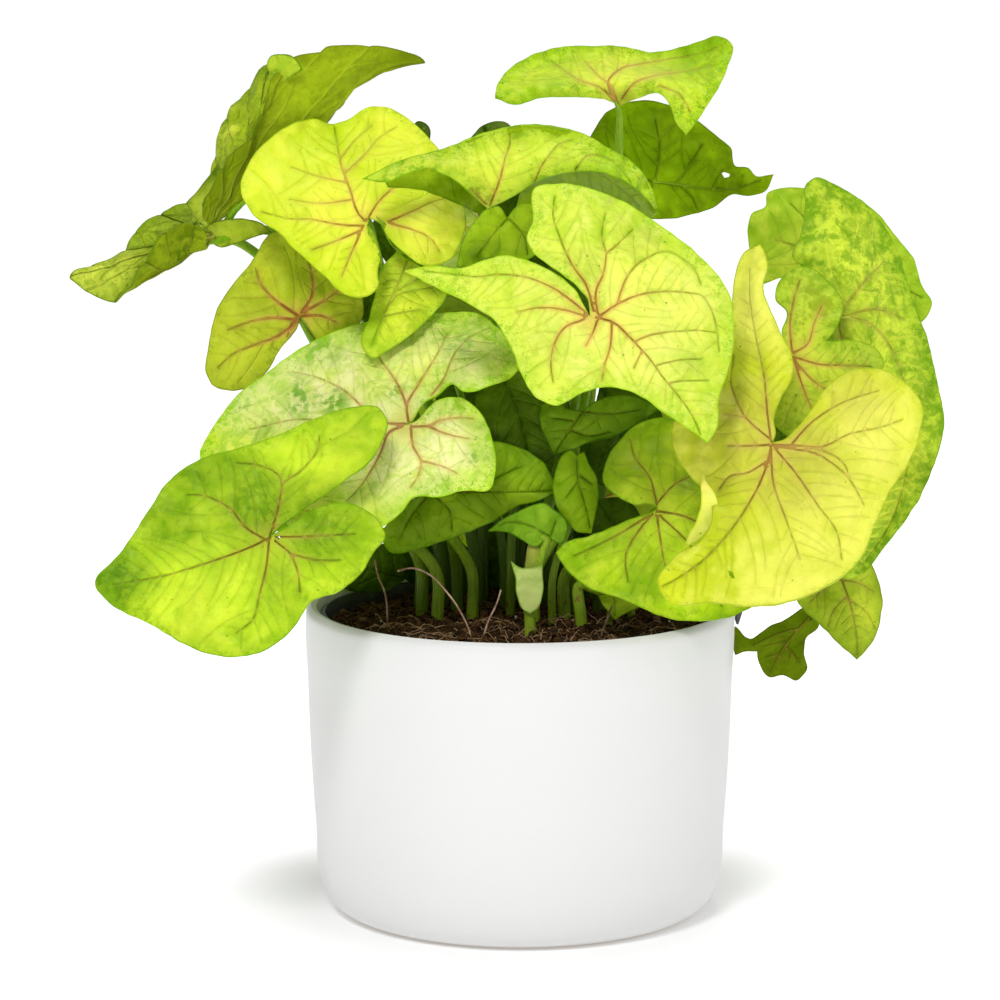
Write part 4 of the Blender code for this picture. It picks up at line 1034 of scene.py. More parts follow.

# Soft spots: (across, down, radius, amount) on the sketch. Cream spots are pale patches of the leaf and, on
# some lobes in shadow, painted light; the other spots are dark patches and painted shade.
MARKS = {
    "leaf_mid_left": {
        "cream": [
            (400,435,66,1.0), (300,385,50,0.95), (440,445,44,1.0), (365,430,50,1.0),
            (330,372,40,1.0), (250,400,34,0.8), (460,362,34,0.7), (420,345,40,0.6),
            (480,345,30,0.5), (430,500,30,0.6),
        ],
        "shade": [
            (299,398,17,0.9), (334,402,14,0.9), (318,346,24,0.7), (395,392,10,0.8),
            (449,400,11,0.7), (476,456,12,0.8), (484,430,10,0.7), (262,440,20,0.5),
            (440,487,10,0.5), (458,342,18,0.5), (500,332,20,0.6), (240,400,14,0.5),
        ],
    },
    "leaf_front_centre": {
        "cream": [(650,350,44,0.5), (600,345,30,0.45), (690,300,36,0.35)],
        "shade": [
            (640,235,22,0.35), (585,268,18,0.25), (690,365,14,0.25), (550,340,16,0.3),
        ],
    },
    "leaf_lower_left": {
        "cream": [(200,610,46,0.35), (330,470,28,0.4), (230,505,30,0.3)],
        "shade": [
            (325,528,40,0.8), (205,465,42,0.8), (112,578,36,1.0), (256,505,36,0.9),
            (170,520,34,0.7), (330,425,30,0.3), (280,590,26,0.5),
        ],
    },
    # Its dark spots round the joint are partly the beige-olive heart and partly painted shadow where
    # leaf_front_centre hangs over it.
    "leaf_right": {
        "cream": [
            (835,520,60,0.75), (753,300,46,0.9), (872,430,42,0.9), (790,580,40,0.8),
        ],
        "shade": [
            (778,455,60,0.75), (850,392,36,0.5), (745,425,48,0.7), (790,425,30,0.65),
            (700,400,30,0.5), (764,370,28,0.2), (745,500,34,0.3), (705,470,26,0.4),
        ],
    },
    # Its cream spot on the right lobe is painted light where leaf_top_centre shades it.
    "leaf_upper_left": {
        "cream": [
            (300,190,50,0.35), (332,203,34,0.8), (385,135,34,0.5), (352,215,30,0.8),
            (430,228,34,0.9),
        ],
        "shade": [(415,205,34,0.1), (392,230,16,0.4)],
    },
    "leaf_top_centre": {
        "cream": [(500,175,36,0.6), (560,165,30,0.4), (420,168,24,0.7)],
        "shade": [(520,130,16,0.3), (450,160,12,0.2)],
    },
    "leaf_left_back": {
        "cream": [(240,360,34,0.35)],
        "shade": [(320,270,44,0.6), (265,300,26,0.3)],
    },
    "leaf_right_mottled": {
        "cream": [
            (850,290,34,0.4), (920,465,36,0.8), (902,525,38,0.9), (862,565,30,0.7),
        ],
        "shade": [(830,210,26,0.3), (935,400,26,0.3)],
    },
    "leaf_far_left_low": {
        "cream": [(92,276,30,1.0), (122,266,24,0.6)],
        "shade": [(196,246,40,1.0), (160,262,26,0.5), (180,220,26,0.3)],
    },
    "leaf_far_left_high": {
        "cream": [(330,85,40,0.7), (365,68,28,0.7), (300,110,28,0.5)],
        "shade": [
            (240,190,40,0.8), (212,212,26,0.8), (300,140,24,0.4), (408,62,16,0.5),
        ],
    },
    "leaf_right_inner": {
        "cream": [(815,385,30,0.8)],
        "shade": [(808,305,34,0.8)],
    },
    "leaf_low_right": {
        "cream": [(868,610,22,0.9)],
        "shade": [(828,600,22,0.8)],
    },
    "leaf_top_right": {
        "cream": [(620,75,40,0.6), (617,99,14,1.0)],
        "shade": [(560,92,20,0.4), (640,95,16,0.4), (708,55,30,0.8), (520,92,22,0.4)],
    },
    "leaf_centre_right": {
        "cream": [(680,560,34,0.2), (628,452,18,0.5)],
        "shade": [(645,490,22,0.4), (690,500,24,0.4)],
    },
    # Its dark spots by the midrib on the left are painted shade.
    "leaf_centre_dark": {
        "cream": [(520,500,24,0.5), (460,528,26,0.4)],
        "shade": [(410,505,36,0.8), (470,480,30,0.5), (400,540,20,0.4)],
    },
}

# The drawn veins of each leaf as lines on the sketch, the midrib first.
VEINS = {
    "leaf_front_centre": [
        [(596,318), (612,322), (632,340), (650,360), (665,380), (680,398), (693,418), (702,437)],
        [(600,316), (617,305), (637,296), (662,292), (687,293), (701,296), (710,308), (716,327),
         (719,352)],
        [(617,305), (625,282), (635,267), (650,257), (665,252), (682,259), (695,271), (701,286)],
        [(598,314), (596,292), (603,275), (606,254), (602,238), (605,214)],
        [(606,254), (618,244), (632,231)],
        [(594,312), (585,283), (574,268), (560,238), (553,215), (555,197)],
        [(588,315), (571,301), (550,287), (530,279), (500,275), (475,277), (455,275), (425,272)],
        [(586,317), (562,310), (540,308), (517,312)],
        [(584,320), (565,328), (555,343), (551,362), (553,382)], [(597,322), (592,335), (586,346)],
        [(612,324), (610,348), (605,364), (602,380)],
        [(634,342), (652,335), (676,332), (702,331), (715,333)], [(655,366), (676,361), (702,359)],
        [(668,383), (688,381), (708,381)], [(642,352), (634,368)],
    ],
    "leaf_lower_left": [
        [(270,538), (249,548), (208,563), (164,576), (114,585)],
        [(266,540), (246,528), (231,510), (219,502), (203,496), (187,495)],
        [(270,536), (277,513), (281,492), (282,483), (278,475), (263,467), (237,463)],
        [(282,484), (302,470), (318,449), (320,436)],
        [(272,530), (296,513), (316,492), (337,469), (355,447), (361,426)],
        [(276,537), (297,537), (325,536), (355,534)], [(275,541), (290,554), (297,569), (300,592)],
        [(290,554), (316,560), (340,560)], [(269,542), (266,569), (260,593), (252,621), (237,633)],
    ],
    "leaf_mid_left": [
        [(402,427), (390,432), (381,452), (367,477), (348,500), (322,520)],
        [(409,424), (407,407), (419,384), (437,355), (448,334)],
        [(407,407), (399,387), (382,361), (372,346)],
        [(405,424), (387,423), (366,410), (343,390), (318,378), (292,372)],
        [(413,427), (428,426), (443,420), (458,418), (474,419)], [(428,426), (443,433), (469,439)],
        [(411,428), (413,446), (421,462), (418,477), (410,488)], [(421,461), (443,467), (458,474)],
        [(387,424), (350,425), (300,420), (250,430)],
        [(432,395), (443,381), (455,354), (473,336), (490,328)],
    ],
    "leaf_right": [
        [(772,444), (764,473), (746,509), (725,538), (700,563), (675,580), (663,586)],
        [(775,445), (800,446), (821,447), (850,434), (882,427), (902,420)],
        [(800,446), (825,452), (843,463), (850,478)], [(793,443), (814,421), (843,403), (878,391)],
        [(771,442), (768,420), (764,377), (755,331), (750,295), (750,270)],
        [(768,438), (746,418), (732,385), (734,356)], [(746,418), (725,415)],
        [(768,445), (753,446), (728,446)], [(766,462), (750,472), (729,477), (718,491)],
        [(771,450), (773,481), (786,520), (800,559)],
        [(775,449), (796,474), (818,506), (836,531), (842,560)],
        [(778,447), (820,456), (848,478), (864,505)],
    ],
    "leaf_upper_left": [
        [(366,222), (360,216), (350,190), (341,165), (336,137), (333,122)],
        [(364,226), (340,225), (312,220), (288,219), (262,212)], [(362,230), (335,242), (312,250)],
        [(360,234), (350,257), (342,276)], [(346,183), (318,177), (292,168)],
        [(352,200), (320,204), (290,200)], [(345,174), (365,155), (380,138), (396,128)],
        [(340,160), (355,141), (372,126)], [(368,219), (378,203), (392,190), (412,178)],
        [(388,222), (412,212), (432,203), (450,198)], [(390,224), (412,230), (432,240), (440,252)],
    ],
    "leaf_top_centre": [
        [(490,206), (500,180), (505,160), (510,143), (510,132)],
        [(535,182), (540,170), (550,155), (559,145), (572,141)],
        [(576,170), (588,156), (605,158), (632,184), (646,202)],
        [(472,192), (456,182), (450,164), (452,152)], [(486,204), (472,190)],
    ],
    "leaf_left_back": [
        [(300,317), (285,307), (270,295), (260,282), (256,268)],
        [(298,320), (280,335), (255,345), (232,355), (218,368)],
        [(296,320), (275,318), (250,322), (228,330)], [(302,312), (312,296), (311,270), (306,252)],
        [(304,316), (322,316), (336,322)], [(304,312), (328,298), (338,290)],
        [(296,322), (282,345), (262,362), (244,374)],
    ],
    "leaf_hanging_small": [
        [(408,260), (398,285), (384,315), (372,345)], [(398,290), (414,281), (428,270)],
        [(392,302), (396,297), (418,290), (436,286)], [(386,316), (406,312), (420,310)],
        [(400,282), (390,280), (384,284)],
    ],
    "leaf_top_right": [
        [(618,104), (608,82), (620,70), (645,64), (668,60), (700,54), (722,46)],
        [(616,103), (600,88), (583,82), (560,68), (552,62)],
        [(622,98), (634,84), (655,76), (684,72), (712,66)],
        [(616,100), (612,88), (598,76), (585,62)], [(660,86), (680,96), (690,112)],
    ],
    "leaf_back_right_dark": [
        [(655,182), (682,185), (710,189), (735,188), (760,180)], [(655,182), (628,172), (606,160)],
        [(676,184), (690,165), (702,145)], [(682,186), (694,200), (698,212)],
        [(655,182), (660,150), (656,120)], [(712,189), (722,170)],
        [(655,183), (640,200), (622,208)],
    ],
    "leaf_right_mottled": [
        [(838,318), (866,322), (884,338), (900,372), (910,420), (906,470), (886,530), (860,566)],
        [(834,316), (826,280), (828,240), (826,200)], [(840,314), (866,280), (884,262)],
        [(838,322), (850,400), (846,470), (836,530)], [(838,318), (880,310), (904,320)],
    ],
    "leaf_right_inner": [
        [(793,357), (797,370), (804,391), (812,409), (824,424)],
        [(794,357), (821,365), (846,366), (871,367)], [(794,353), (807,345), (814,324), (822,306)],
        [(792,352), (790,325), (794,300), (800,280)], [(794,360), (812,380), (836,396)],
    ],
    "leaf_right_pale": [
        [(842,264), (866,270), (894,284), (922,298)], [(836,264), (806,250), (776,240)],
        [(838,260), (812,226), (790,204)], [(842,258), (856,226), (862,212)],
        [(846,262), (880,254), (902,260)],
    ],
    "leaf_centre_right": [
        [(657,511), (682,516), (700,523), (730,536), (765,556)],
        [(657,504), (673,486), (687,478), (706,472)], [(657,505), (650,478), (634,456), (630,440)],
        [(657,516), (660,536), (664,560), (676,590)], [(653,514), (637,534), (626,556), (628,582)],
        [(648,516), (620,534), (592,548), (574,556)], [(660,516), (690,545), (710,580), (722,606)],
    ],
    "leaf_centre_dark": [
        [(430,494), (460,492), (495,492), (530,492), (552,491)], [(434,492), (450,472), (480,458)],
        [(434,495), (450,512), (452,530)], [(428,495), (412,515), (400,538)],
        [(470,492), (500,476), (522,466)],
    ],
    "leaf_centre_upright": [
        [(577,460), (578,480), (586,508), (590,528)], [(578,482), (566,498)],
        [(578,474), (592,484)],
    ],
    "leaf_centre_shaded": [
        [(582,413), (574,424), (562,442), (556,452)], [(584,412), (610,414), (640,410)],
        [(576,421), (552,418)], [(570,430), (590,436), (610,432)],
    ],
    "leaf_under_right": [
        [(612,585), (614,600), (615,616)], [(612,588), (628,594)], [(612,590), (602,594)],
    ],
    "leaf_low_right": [
        [(838,574), (846,592), (852,612), (856,634), (857,654)], [(840,580), (860,584), (874,592)],
        [(836,578), (822,590), (810,602)], [(848,598), (866,612), (874,626)],
        [(846,596), (832,612), (828,626)],
    ],
    "leaf_low_right_ragged": [
        [(816,610), (796,632), (780,654), (771,672)], [(800,628), (778,634), (754,645)],
        [(786,646), (800,662)],
    ],
    "stem_front": [
        [(550,537), (530,526), (508,522), (494,528)], [(552,534), (556,520)],
    ],
    "leaf_under_top": [
        [(507,220), (492,236), (476,256)], [(510,220), (524,236), (528,254)],
    ],
    "leaf_top_centre_piece": [
        [(500,150), (540,150), (600,172), (640,205)], [(440,168), (480,176), (500,150)],
    ],
}

# Small holes in the blades.
HOLES = {
    "leaf_right": [[(728,570), (733,572), (734,576), (735,579), (731,578), (729,575)]],
    "leaf_back_right_dark": [[(721,173), (725,172), (730,174), (729,177), (724,178)]],
    "leaf_lower_left": [[(277,537), (280,536), (281,539), (278,540)]],
}

# Which rays of a folded leaf carry its veins.
FOLD_VEINS = {"leaf_far_left_high": [2, 4, 7, 10, 13, 16], "leaf_far_left_low": [1, 3, 5, 7, 9, 11]}


def shader_of(name):
    """A new material, its nodes, its main shader and the place on the plant."""
    made = bpy.data.materials.new(name)
    made.use_nodes = True
    tree = made.node_tree
    return made, tree, tree.nodes["Principled BSDF"], node(tree, "ShaderNodeTexCoord").outputs["Object"]


def bumped(tree, shader, height, distance, strength=0.6):
    relief = node(tree, "ShaderNodeBump", {"Height": height, "Distance": distance, "Strength": strength})
    tree.links.new(relief.outputs[0], shader.inputs["Normal"])


def glazed_ceramic():
    """Clouded white satin glaze, bare clay at the very foot, faint ripples from the wheel."""
    made, tree, shader, place = shader_of("white satin glaze")
    cloud = times(tree, grain(tree, place, 9.0, 3.0), 0.35)
    colour = tint(tree, cloud, (0.79, 0.79, 0.788, 1), (0.75, 0.75, 0.747, 1))
    height = node(tree, "ShaderNodeSeparateXYZ", {0: place}).outputs["Z"]
    foot = ease(tree, height, 0.0016, 0.0004)
    colour = tint(tree, foot, colour, (0.62, 0.56, 0.47, 1))
    tree.links.new(colour, shader.inputs["Base Color"])
    rough = calc(tree, "MULTIPLY_ADD", grain(tree, place, 60.0, 3.0), 0.10, 0.36)
    tree.links.new(calc(tree, "MULTIPLY_ADD", foot, 0.4, rough), shader.inputs["Roughness"])
    ripple = grain(tree, stretched(tree, place, (70, 70, 260)), 1.0, 2.0)
    ripple = calc(tree, "ADD", ripple, times(tree, grain(tree, place, 900.0), 0.12))
    bumped(tree, shader, ripple, 0.0003, 0.35)
    shader.inputs["Specular IOR Level"].default_value = 0.4
    return made


def liner_plastic():
    """Dark plastic, worn pale in patches and dusty with compost."""
    made, tree, shader, place = shader_of("dark nursery plastic")
    wear = ease(tree, grain(tree, place, 120.0, 4.0, 0.7), 0.48, 0.72)
    colour = tint(tree, wear, (0.050, 0.053, 0.066, 1), (0.095, 0.10, 0.12, 1))
    dust = times(tree, ease(tree, grain(tree, place, 900.0, 2.0), 0.60, 0.72), 0.5)
    tree.links.new(tint(tree, dust, colour, (0.16, 0.12, 0.09, 1)), shader.inputs["Base Color"])
    tree.links.new(calc(tree, "MULTIPLY_ADD", wear, 0.25, 0.38), shader.inputs["Roughness"])
    bumped(tree, shader, grain(tree, place, 1400.0, 2.0), 0.0002)
    return made


def dark_compost():
    """Damp dark clumps with paler fibres that lie across each other."""
    made, tree, shader, place = shader_of("damp peat compost")
    clump = ease(tree, grain(tree, place, 180.0, 5.0, 0.7), 0.36, 0.66)
    colour = tint(tree, clump, (0.006, 0.0030, 0.0012, 1), (0.060, 0.028, 0.009, 1))
    along = stretched(tree, place, (500, 2600, 500), (0, 0, 0.6))
    thread = ease(tree, grain(tree, along, 1.0, 3.0, 0.6), 0.56, 0.64)
    across = stretched(tree, place, (2600, 500, 500), (0, 0, -0.4))
    other = ease(tree, grain(tree, across, 1.0, 3.0, 0.6), 0.58, 0.66)
    fibre = calc(tree, "MAXIMUM", thread, other)
    colour = tint(tree, times(tree, fibre, 0.6), colour, (0.20, 0.095, 0.034, 1))
    tree.links.new(colour, shader.inputs["Base Color"])
    tree.links.new(calc(tree, "MULTIPLY_ADD", clump, 0.25, 0.62), shader.inputs["Roughness"])
    lumps = calc(tree, "ADD", grain(tree, place, 420.0, 6.0, 0.75), times(tree, fibre, 0.4))
    bumped(tree, shader, lumps, 0.0018, 0.9)
    shader.inputs["Specular IOR Level"].default_value = 0.12
    return made


def plain_grain(name, dark, light, scale, rough, distance=0.0004):
    """A matt finish that wanders between two colours, for crumbs, fibres and roots."""
    made, tree, shader, place = shader_of(name)
    share = ease(tree, grain(tree, place, scale, 4.0, 0.65), 0.36, 0.64)
    tree.links.new(tint(tree, share, (*dark, 1), (*light, 1)), shader.inputs["Base Color"])
    tree.links.new(calc(tree, "MULTIPLY_ADD", share, 0.15, rough), shader.inputs["Roughness"])
    bumped(tree, shader, grain(tree, place, scale * 3, 4.0), distance)
    shader.inputs["Specular IOR Level"].default_value = 0.15
    return made


def stalk_skin():
    """Green leaf stalk, paler by the compost, with fine ribs along it, a few red flecks, and painted shade
    deep in the bush.
    """
    made, tree, shader, place = shader_of("leaf stalk skin")
    height = node(tree, "ShaderNodeSeparateXYZ", {0: place}).outputs["Z"]
    colour = tint(tree, ease(tree, height, 0.092, 0.150), (0.28, 0.42, 0.020, 1), (0.22, 0.44, 0.004, 1))
    patch = ease(tree, grain(tree, place, 110.0, 3.0), 0.40, 0.66)
    colour = tint(tree, times(tree, patch, 0.45), colour, (0.38, 0.52, 0.040, 1))
    rib = grain(tree, stretched(tree, place, (2200, 2200, 90)), 1.0, 2.0)
    colour = tint(tree, times(tree, ease(tree, rib, 0.45, 0.62), 0.3), colour, (0.07, 0.15, 0.003, 1))
    fleck = ease(tree, grain(tree, place, 300.0, 3.0, 0.6), 0.64, 0.70)
    fleck = times(tree, fleck, ease(tree, height, 0.130, 0.095, 0.1, 0.8))
    colour = tint(tree, fleck, colour, (0.24, 0.08, 0.03, 1))
    # Painted shade: deep in the bush, low down and behind the front stalks, the skin is darkened as if in
    # shadow.
    inward = node(tree, "ShaderNodeSeparateXYZ", {0: place}).outputs["Y"]
    deep = times(tree, ease(tree, height, 0.165, 0.125), ease(tree, inward, -0.008, 0.010))
    colour = tint(tree, times(tree, deep, 0.8), colour, (0.045, 0.095, 0.002, 1))
    tree.links.new(colour, shader.inputs["Base Color"])
    shader.inputs["Specular IOR Level"].default_value = 0.18
    tree.links.new(calc(tree, "MULTIPLY_ADD", patch, 0.15, 0.32), shader.inputs["Roughness"])
    bumped(tree, shader, rib, 0.0004)
    return made


STALK_FINISH = stalk_skin()

# Small leaves deep in the bush, coloured very dark as painted shade where the bush is in shadow: outline on
# the sketch, how far in front of the axis, and how much the leaf leans forward.
DEEP_LEAVES = (
    ([
        (500,372), (530,374), (562,388), (570,412), (558,452), (530,470), (505,462),
        (484,440), (474,405), (482,382),
    ], 7, 0.2),
    ([
        (600,384), (628,382), (652,400), (662,416), (650,444), (628,474), (606,486),
        (586,470), (578,446), (592,415),
    ], -3, 0.1),
    ([
        (464,420), (446,412), (436,398), (440,382), (456,374), (476,382), (488,396),
        (482,412),
    ], -12, 0.1),
    ([
        (366,324), (355,312), (349,296), (356,283), (370,279), (382,288), (385,304),
        (379,318),
    ], -8, 0.1),
    ([
        (586,334), (568,322), (546,302), (528,280), (522,258), (532,243), (552,246),
        (572,262), (588,286), (595,312),
    ], 22, 0.3),
    ([
        (778,454), (764,446), (759,428), (767,413), (784,409), (799,418), (801,434),
        (792,449),
    ], 26, 0.2),
    ([
        (392,536), (420,530), (450,536), (470,552), (474,575), (462,592), (430,590),
        (404,578), (386,558),
    ], -36, -0.2),
    ([
        (470,530), (500,522), (530,530), (548,552), (544,580), (520,594), (490,588),
        (470,565),
    ], -41, -0.2),
    ([
        (546,530), (580,524), (612,536), (626,560), (618,584), (586,596), (558,584),
        (544,560),
    ], -37, -0.2),
    ([(596,500), (622,498), (640,515), (640,540), (622,556), (600,548), (588,524)], -6, 0.0),
    ([
        (404,580), (390,590), (368,592), (344,588), (334,572), (352,554), (374,545),
        (396,546), (408,562),
    ], -28, 0.0),
    ([
        (388,264), (376,248), (372,226), (384,205), (400,182), (408,158), (410,134),
        (418,121), (427,124), (430,140), (424,165), (416,195), (410,225), (404,250),
    ], -6, 0.46),
    ([
        (497,236), (485,226), (474,205), (466,180), (464,155), (472,136), (484,125),
        (496,121), (508,124), (516,134), (522,160), (520,190), (512,218),
    ], 2, 0.2),
)


def make_deep_leaves():
    # Each is a dark sheet whose colour is painted shade, filling the shadowed gaps in the bush.
    for number, (edge, out, lean) in enumerate(DEEP_LEAVES, start=1):
        label = f"young_blade_{number}"
        middle = np.mean(edge, axis=0)
        veins = [[edge[0], tuple(middle), edge[len(edge) // 2]]]
        points, faces, values = cut_blade(
            label, (*edge[0], out), edge[1:], (0.0, lean), 2.0, veins, 0.9, 1
        )
        _, faces = turned_up(points, faces)
        claim(make_blade(label, points, faces, values, leaf_finish("leaf_young", "deep")), "leaf_deep")


def edit_all(mesh_step, **settings):
    """Selects every point in edit mode and runs one step on them."""
    bpy.ops.object.mode_set(mode="EDIT")
    bpy.ops.mesh.select_all(action="SELECT")
    mesh_step(**settings)


def close_up():
    """Turns all faces outwards and leaves edit mode."""
    edit_all(bpy.ops.mesh.normals_make_consistent, inside=False)
    bpy.ops.object.mode_set(mode="OBJECT")


def lift(across, back, up):
    bpy.ops.mesh.extrude_region_move(TRANSFORM_OT_translate={"value": (across, back, up)})


def turned_wall(name, profile, steps, spacing, finish):
    """A turned piece: a disc drawn up ring by ring along the smooth profile, as on a wheel."""
    wall = smooth_line(profile, spacing=spacing)
    radius, height = wall[0]
    bpy.ops.object.select_all(action="DESELECT")
    bpy.ops.mesh.primitive_circle_add(
        vertices=steps, radius=radius / 1000, fill_type="NGON", location=(0, 0, height / 1000)
    )
    made = bpy.context.view_layer.objects.active
    made.name = name
    bpy.ops.object.transform_apply(location=True, rotation=True, scale=True)
    bpy.ops.object.mode_set(mode="EDIT")
    bpy.ops.mesh.select_all(action="SELECT")
    for wide, high in wall[1:]:
        lift(0, 0, (high - height) / 1000)
        share = wide / radius
        bpy.ops.transform.resize(value=(share, share, 1), center_override=(0, 0, high / 1000))
        radius, height = wide, high
    close_up()
    bpy.ops.object.shade_smooth_by_angle(angle=math.radians(40))
    made.data.materials.append(finish)
    return made


def make_pot():
    claim(turned_wall("glazed_pot", POT_WALL, 160, 1.6, glazed_ceramic()), "ceramic", "pot")


def make_liner():
    """The liner, and its grip tab with softened edges."""
    plastic = liner_plastic()
    claim(turned_wall("nursery_liner", LINER_WALL, 128, 2.0, plastic), "liner", "liner")
    mesh = bpy.data.meshes.new("liner_tab")
    side = [(x / 1000, -TAB_WIDTH / 2000, z / 1000) for x, z in TAB_OUTLINE]
    mesh.from_pydata(side, [], [tuple(range(len(side)))])
    grip = set_down("liner_tab", mesh)
    edit_all(lift, across=0, back=TAB_WIDTH / 1000, up=0)
    close_up()
    bpy.ops.object.modifier_add(type="BEVEL")
    grip.modifiers[-1].width = 0.0003
    grip.modifiers[-1].segments = 2
    bpy.ops.object.modifier_apply(modifier=grip.modifiers[-1].name)
    bpy.ops.object.shade_smooth_by_angle(angle=math.radians(35))
    mesh.materials.append(plastic)
    claim(grip, "liner")


def soil_height(x, y):
    """The compost's crumbly top, in metres, at a place given in metres."""
    radius = math.hypot(x, y) * 1000
    mound = np.interp(radius, [0, 24, 46, 59.5], [SOIL_CROWN, 92.6, 91.6, SOIL_EDGE])
    lumps = noise.noise((x * 170, y * 170, 3.1)) * 1.5 + noise.noise((x * 420, y * 420, 8.4)) * 1.0
    lumps += noise.noise((x * 1100, y * 1100, 5.2)) * 0.5
    return (mound - 0.2 + lumps) / 1000


def make_soil():
    """A fine square bed, cut round and dropped onto the mound, with a shallow body below it."""
    bpy.ops.object.select_all(action="DESELECT")
    bpy.ops.mesh.primitive_grid_add(
        x_subdivisions=170, y_subdivisions=170, size=0.124, location=(0, 0, 0.09)
    )
    bed = bpy.context.view_layer.objects.active
    bed.name = "compost_bed"
    bpy.ops.object.transform_apply(location=True, rotation=True, scale=True)
    bpy.ops.object.mode_set(mode="EDIT")
    bpy.ops.mesh.select_all(action="DESELECT")
    bpy.ops.object.mode_set(mode="OBJECT")
    for point in bed.data.vertices:
        point.select = math.hypot(point.co.x, point.co.y) > (SOIL_RADIUS - 0.2) / 1000
    bpy.ops.object.mode_set(mode="EDIT")
    bpy.ops.mesh.delete(type="VERT")
    edit_all(bpy.ops.mesh.region_to_loop)
    bpy.ops.object.mode_set(mode="OBJECT")
    for point in bed.data.vertices:
        if point.select:
            share = SOIL_RADIUS / 1000 / math.hypot(point.co.x, point.co.y)
            point.co.x *= share
            point.co.y *= share
        point.co.z = soil_height(point.co.x, point.co.y)
    bpy.ops.object.mode_set(mode="EDIT")
    lift(0, 0, -0.006)
    bpy.ops.transform.resize(value=(0.985, 0.985, 0.3), center_override=(0, 0, 0.08))
    bpy.ops.mesh.edge_face_add()
    close_up()
    bpy.ops.object.shade_smooth()
    bed.data.materials.append(dark_compost())
    claim(bed, "compost", "soil")


def scatter(name, finish, base, count, size, dice, low=0.3, sink=0.35):
    """Copies of one small lump laid on the compost, each turned and sized by itself."""
    shape = np.array([v.co for v in base.data.vertices])
    shape = shape / np.abs(shape).max()
    cells = [tuple(f.vertices) for f in base.data.polygons]
    points = []
    faces = []
    for _ in range(count):
        radius = GRAIN_RADIUS / 1000 * math.sqrt(dice.random())
        turn = dice.uniform(0, math.tau)
        x, y = radius * math.cos(turn), radius * math.sin(turn)
        big = size * dice.uniform(low, 1.0) / 1000
        aim = Vector((dice.uniform(-1, 1), dice.uniform(-1, 1), dice.uniform(-1, 1))).normalized()
        spin = np.array(aim.to_track_quat("Z", "Y").to_matrix())
        stretch = np.array((dice.uniform(0.6, 1.2), dice.uniform(0.6, 1.0), dice.uniform(0.45, 0.8)))
        start = len(points)
        here = np.array((x, y, soil_height(x, y) + big * sink))
        points += list((shape * stretch * big) @ spin.T + here)
        faces += [tuple(start + k for k in cell) for cell in cells]
    mesh = bpy.data.meshes.new(name)
    mesh.from_pydata([tuple(p) for p in points], [], faces)
    mesh.materials.append(finish)
    mesh.shade_smooth()
    claim(set_down(name, mesh), "compost")


def lump(dice):
    """One uneven lump, which every grain is a copy of."""
    bpy.ops.object.select_all(action="DESELECT")
    bpy.ops.mesh.primitive_ico_sphere_add(subdivisions=2, radius=1.0)
    made = bpy.context.view_layer.objects.active
    for point in made.data.vertices:
        point.co *= 1 + 0.45 * noise.noise(point.co * 1.7 + Vector((dice.uniform(0, 3), 0, 0)))
    return made


def fibres(name, finish, count, length, radius, dice, rise, front=False):
    """Short curved threads that lie over the compost, or over its front part only."""
    paths = []
    while len(paths) < count:
        far = (GRAIN_RADIUS - 1.5) / 1000 * math.sqrt(dice.random())
        turn = dice.uniform(0, math.tau)
        x, y = far * math.cos(turn), far * math.sin(turn)
        if front and y > -0.012:
            continue
        heading = dice.uniform(0, math.tau)
        reach = length * dice.uniform(0.35, 1.0) / 1000
        bend = dice.uniform(-1.6, 1.6)
        arch = dice.uniform(0.0, rise) / 1000
        path = []
        for k in range(8):
            share = k / 7
            angle = heading + bend * share
            x += math.cos(angle) * reach / 7
            y += math.sin(angle) * reach / 7
            hold = 0.0588 / max(0.0588, math.hypot(x, y))
            lifted = arch * 4 * share * (1 - share) + 0.0004
            thick = radius / 1000 * (1 - 0.6 * share)
            path.append((x * hold, y * hold, soil_height(x * hold, y * hold) + lifted, thick))
        paths.append(path)
    claim(tube(name, paths, 0, finish), "compost")


# Wiry roots in front of the compost, as lines of landmarks.
ROOT_LINES = (
    ((398,571,20), (412,568,22), (430,575,24), (445,590,27), (457,606,30), (467,625,33), (476,652,36)),
    ((501,590,27), (497,603,29), (488,622,32), (480,650,36)),
    ((375,560,5), (378,576,8), (384,590,11), (388,632,13)),
    ((612,606,22), (606,622,25), (600,640,29), (598,656,32)),
)


def make_roots():
    finish = plain_grain("wiry root skin", (0.30, 0.16, 0.10), (0.62, 0.42, 0.32), 300.0, 0.55)
    paths = []
    for marks in ROOT_LINES:
        line = smooth_line([spots(*mark) for mark in marks], count=26)
        paths.append([(x, y, z, 0.00030) for x, y, z in line])
    claim(tube("wiry_roots", paths, 2, finish), "compost")


def make_front_sleeve():
    """The pale sleeve round the front stem, between the torn sheath and the small front blade."""
    marks = ((536, 543, 28), (534, 562, 30), (532, 585, 31), (531, 608, 31.4))
    line = smooth_line([spots(*mark) for mark in marks], count=20)
    widths = np.interp(np.linspace(0, 1, 20), [0, 0.1, 0.8, 1], [2.2, 2.6, 2.9, 2.6]) / 1000
    tints = {"Light": (0.46, 0.54, 0.12), "Deep": (0.28, 0.36, 0.04), "Heart": (0.60, 0.66, 0.22)}
    skin = leaf_surface("pale stem sleeve", tints, {"Patched": 0.6, "Veined": 0.0, "Speckle": 0.0})
    claim(tube("front_stem_sleeve", [np.column_stack([line, widths])], 6, skin), "leaf_cream")


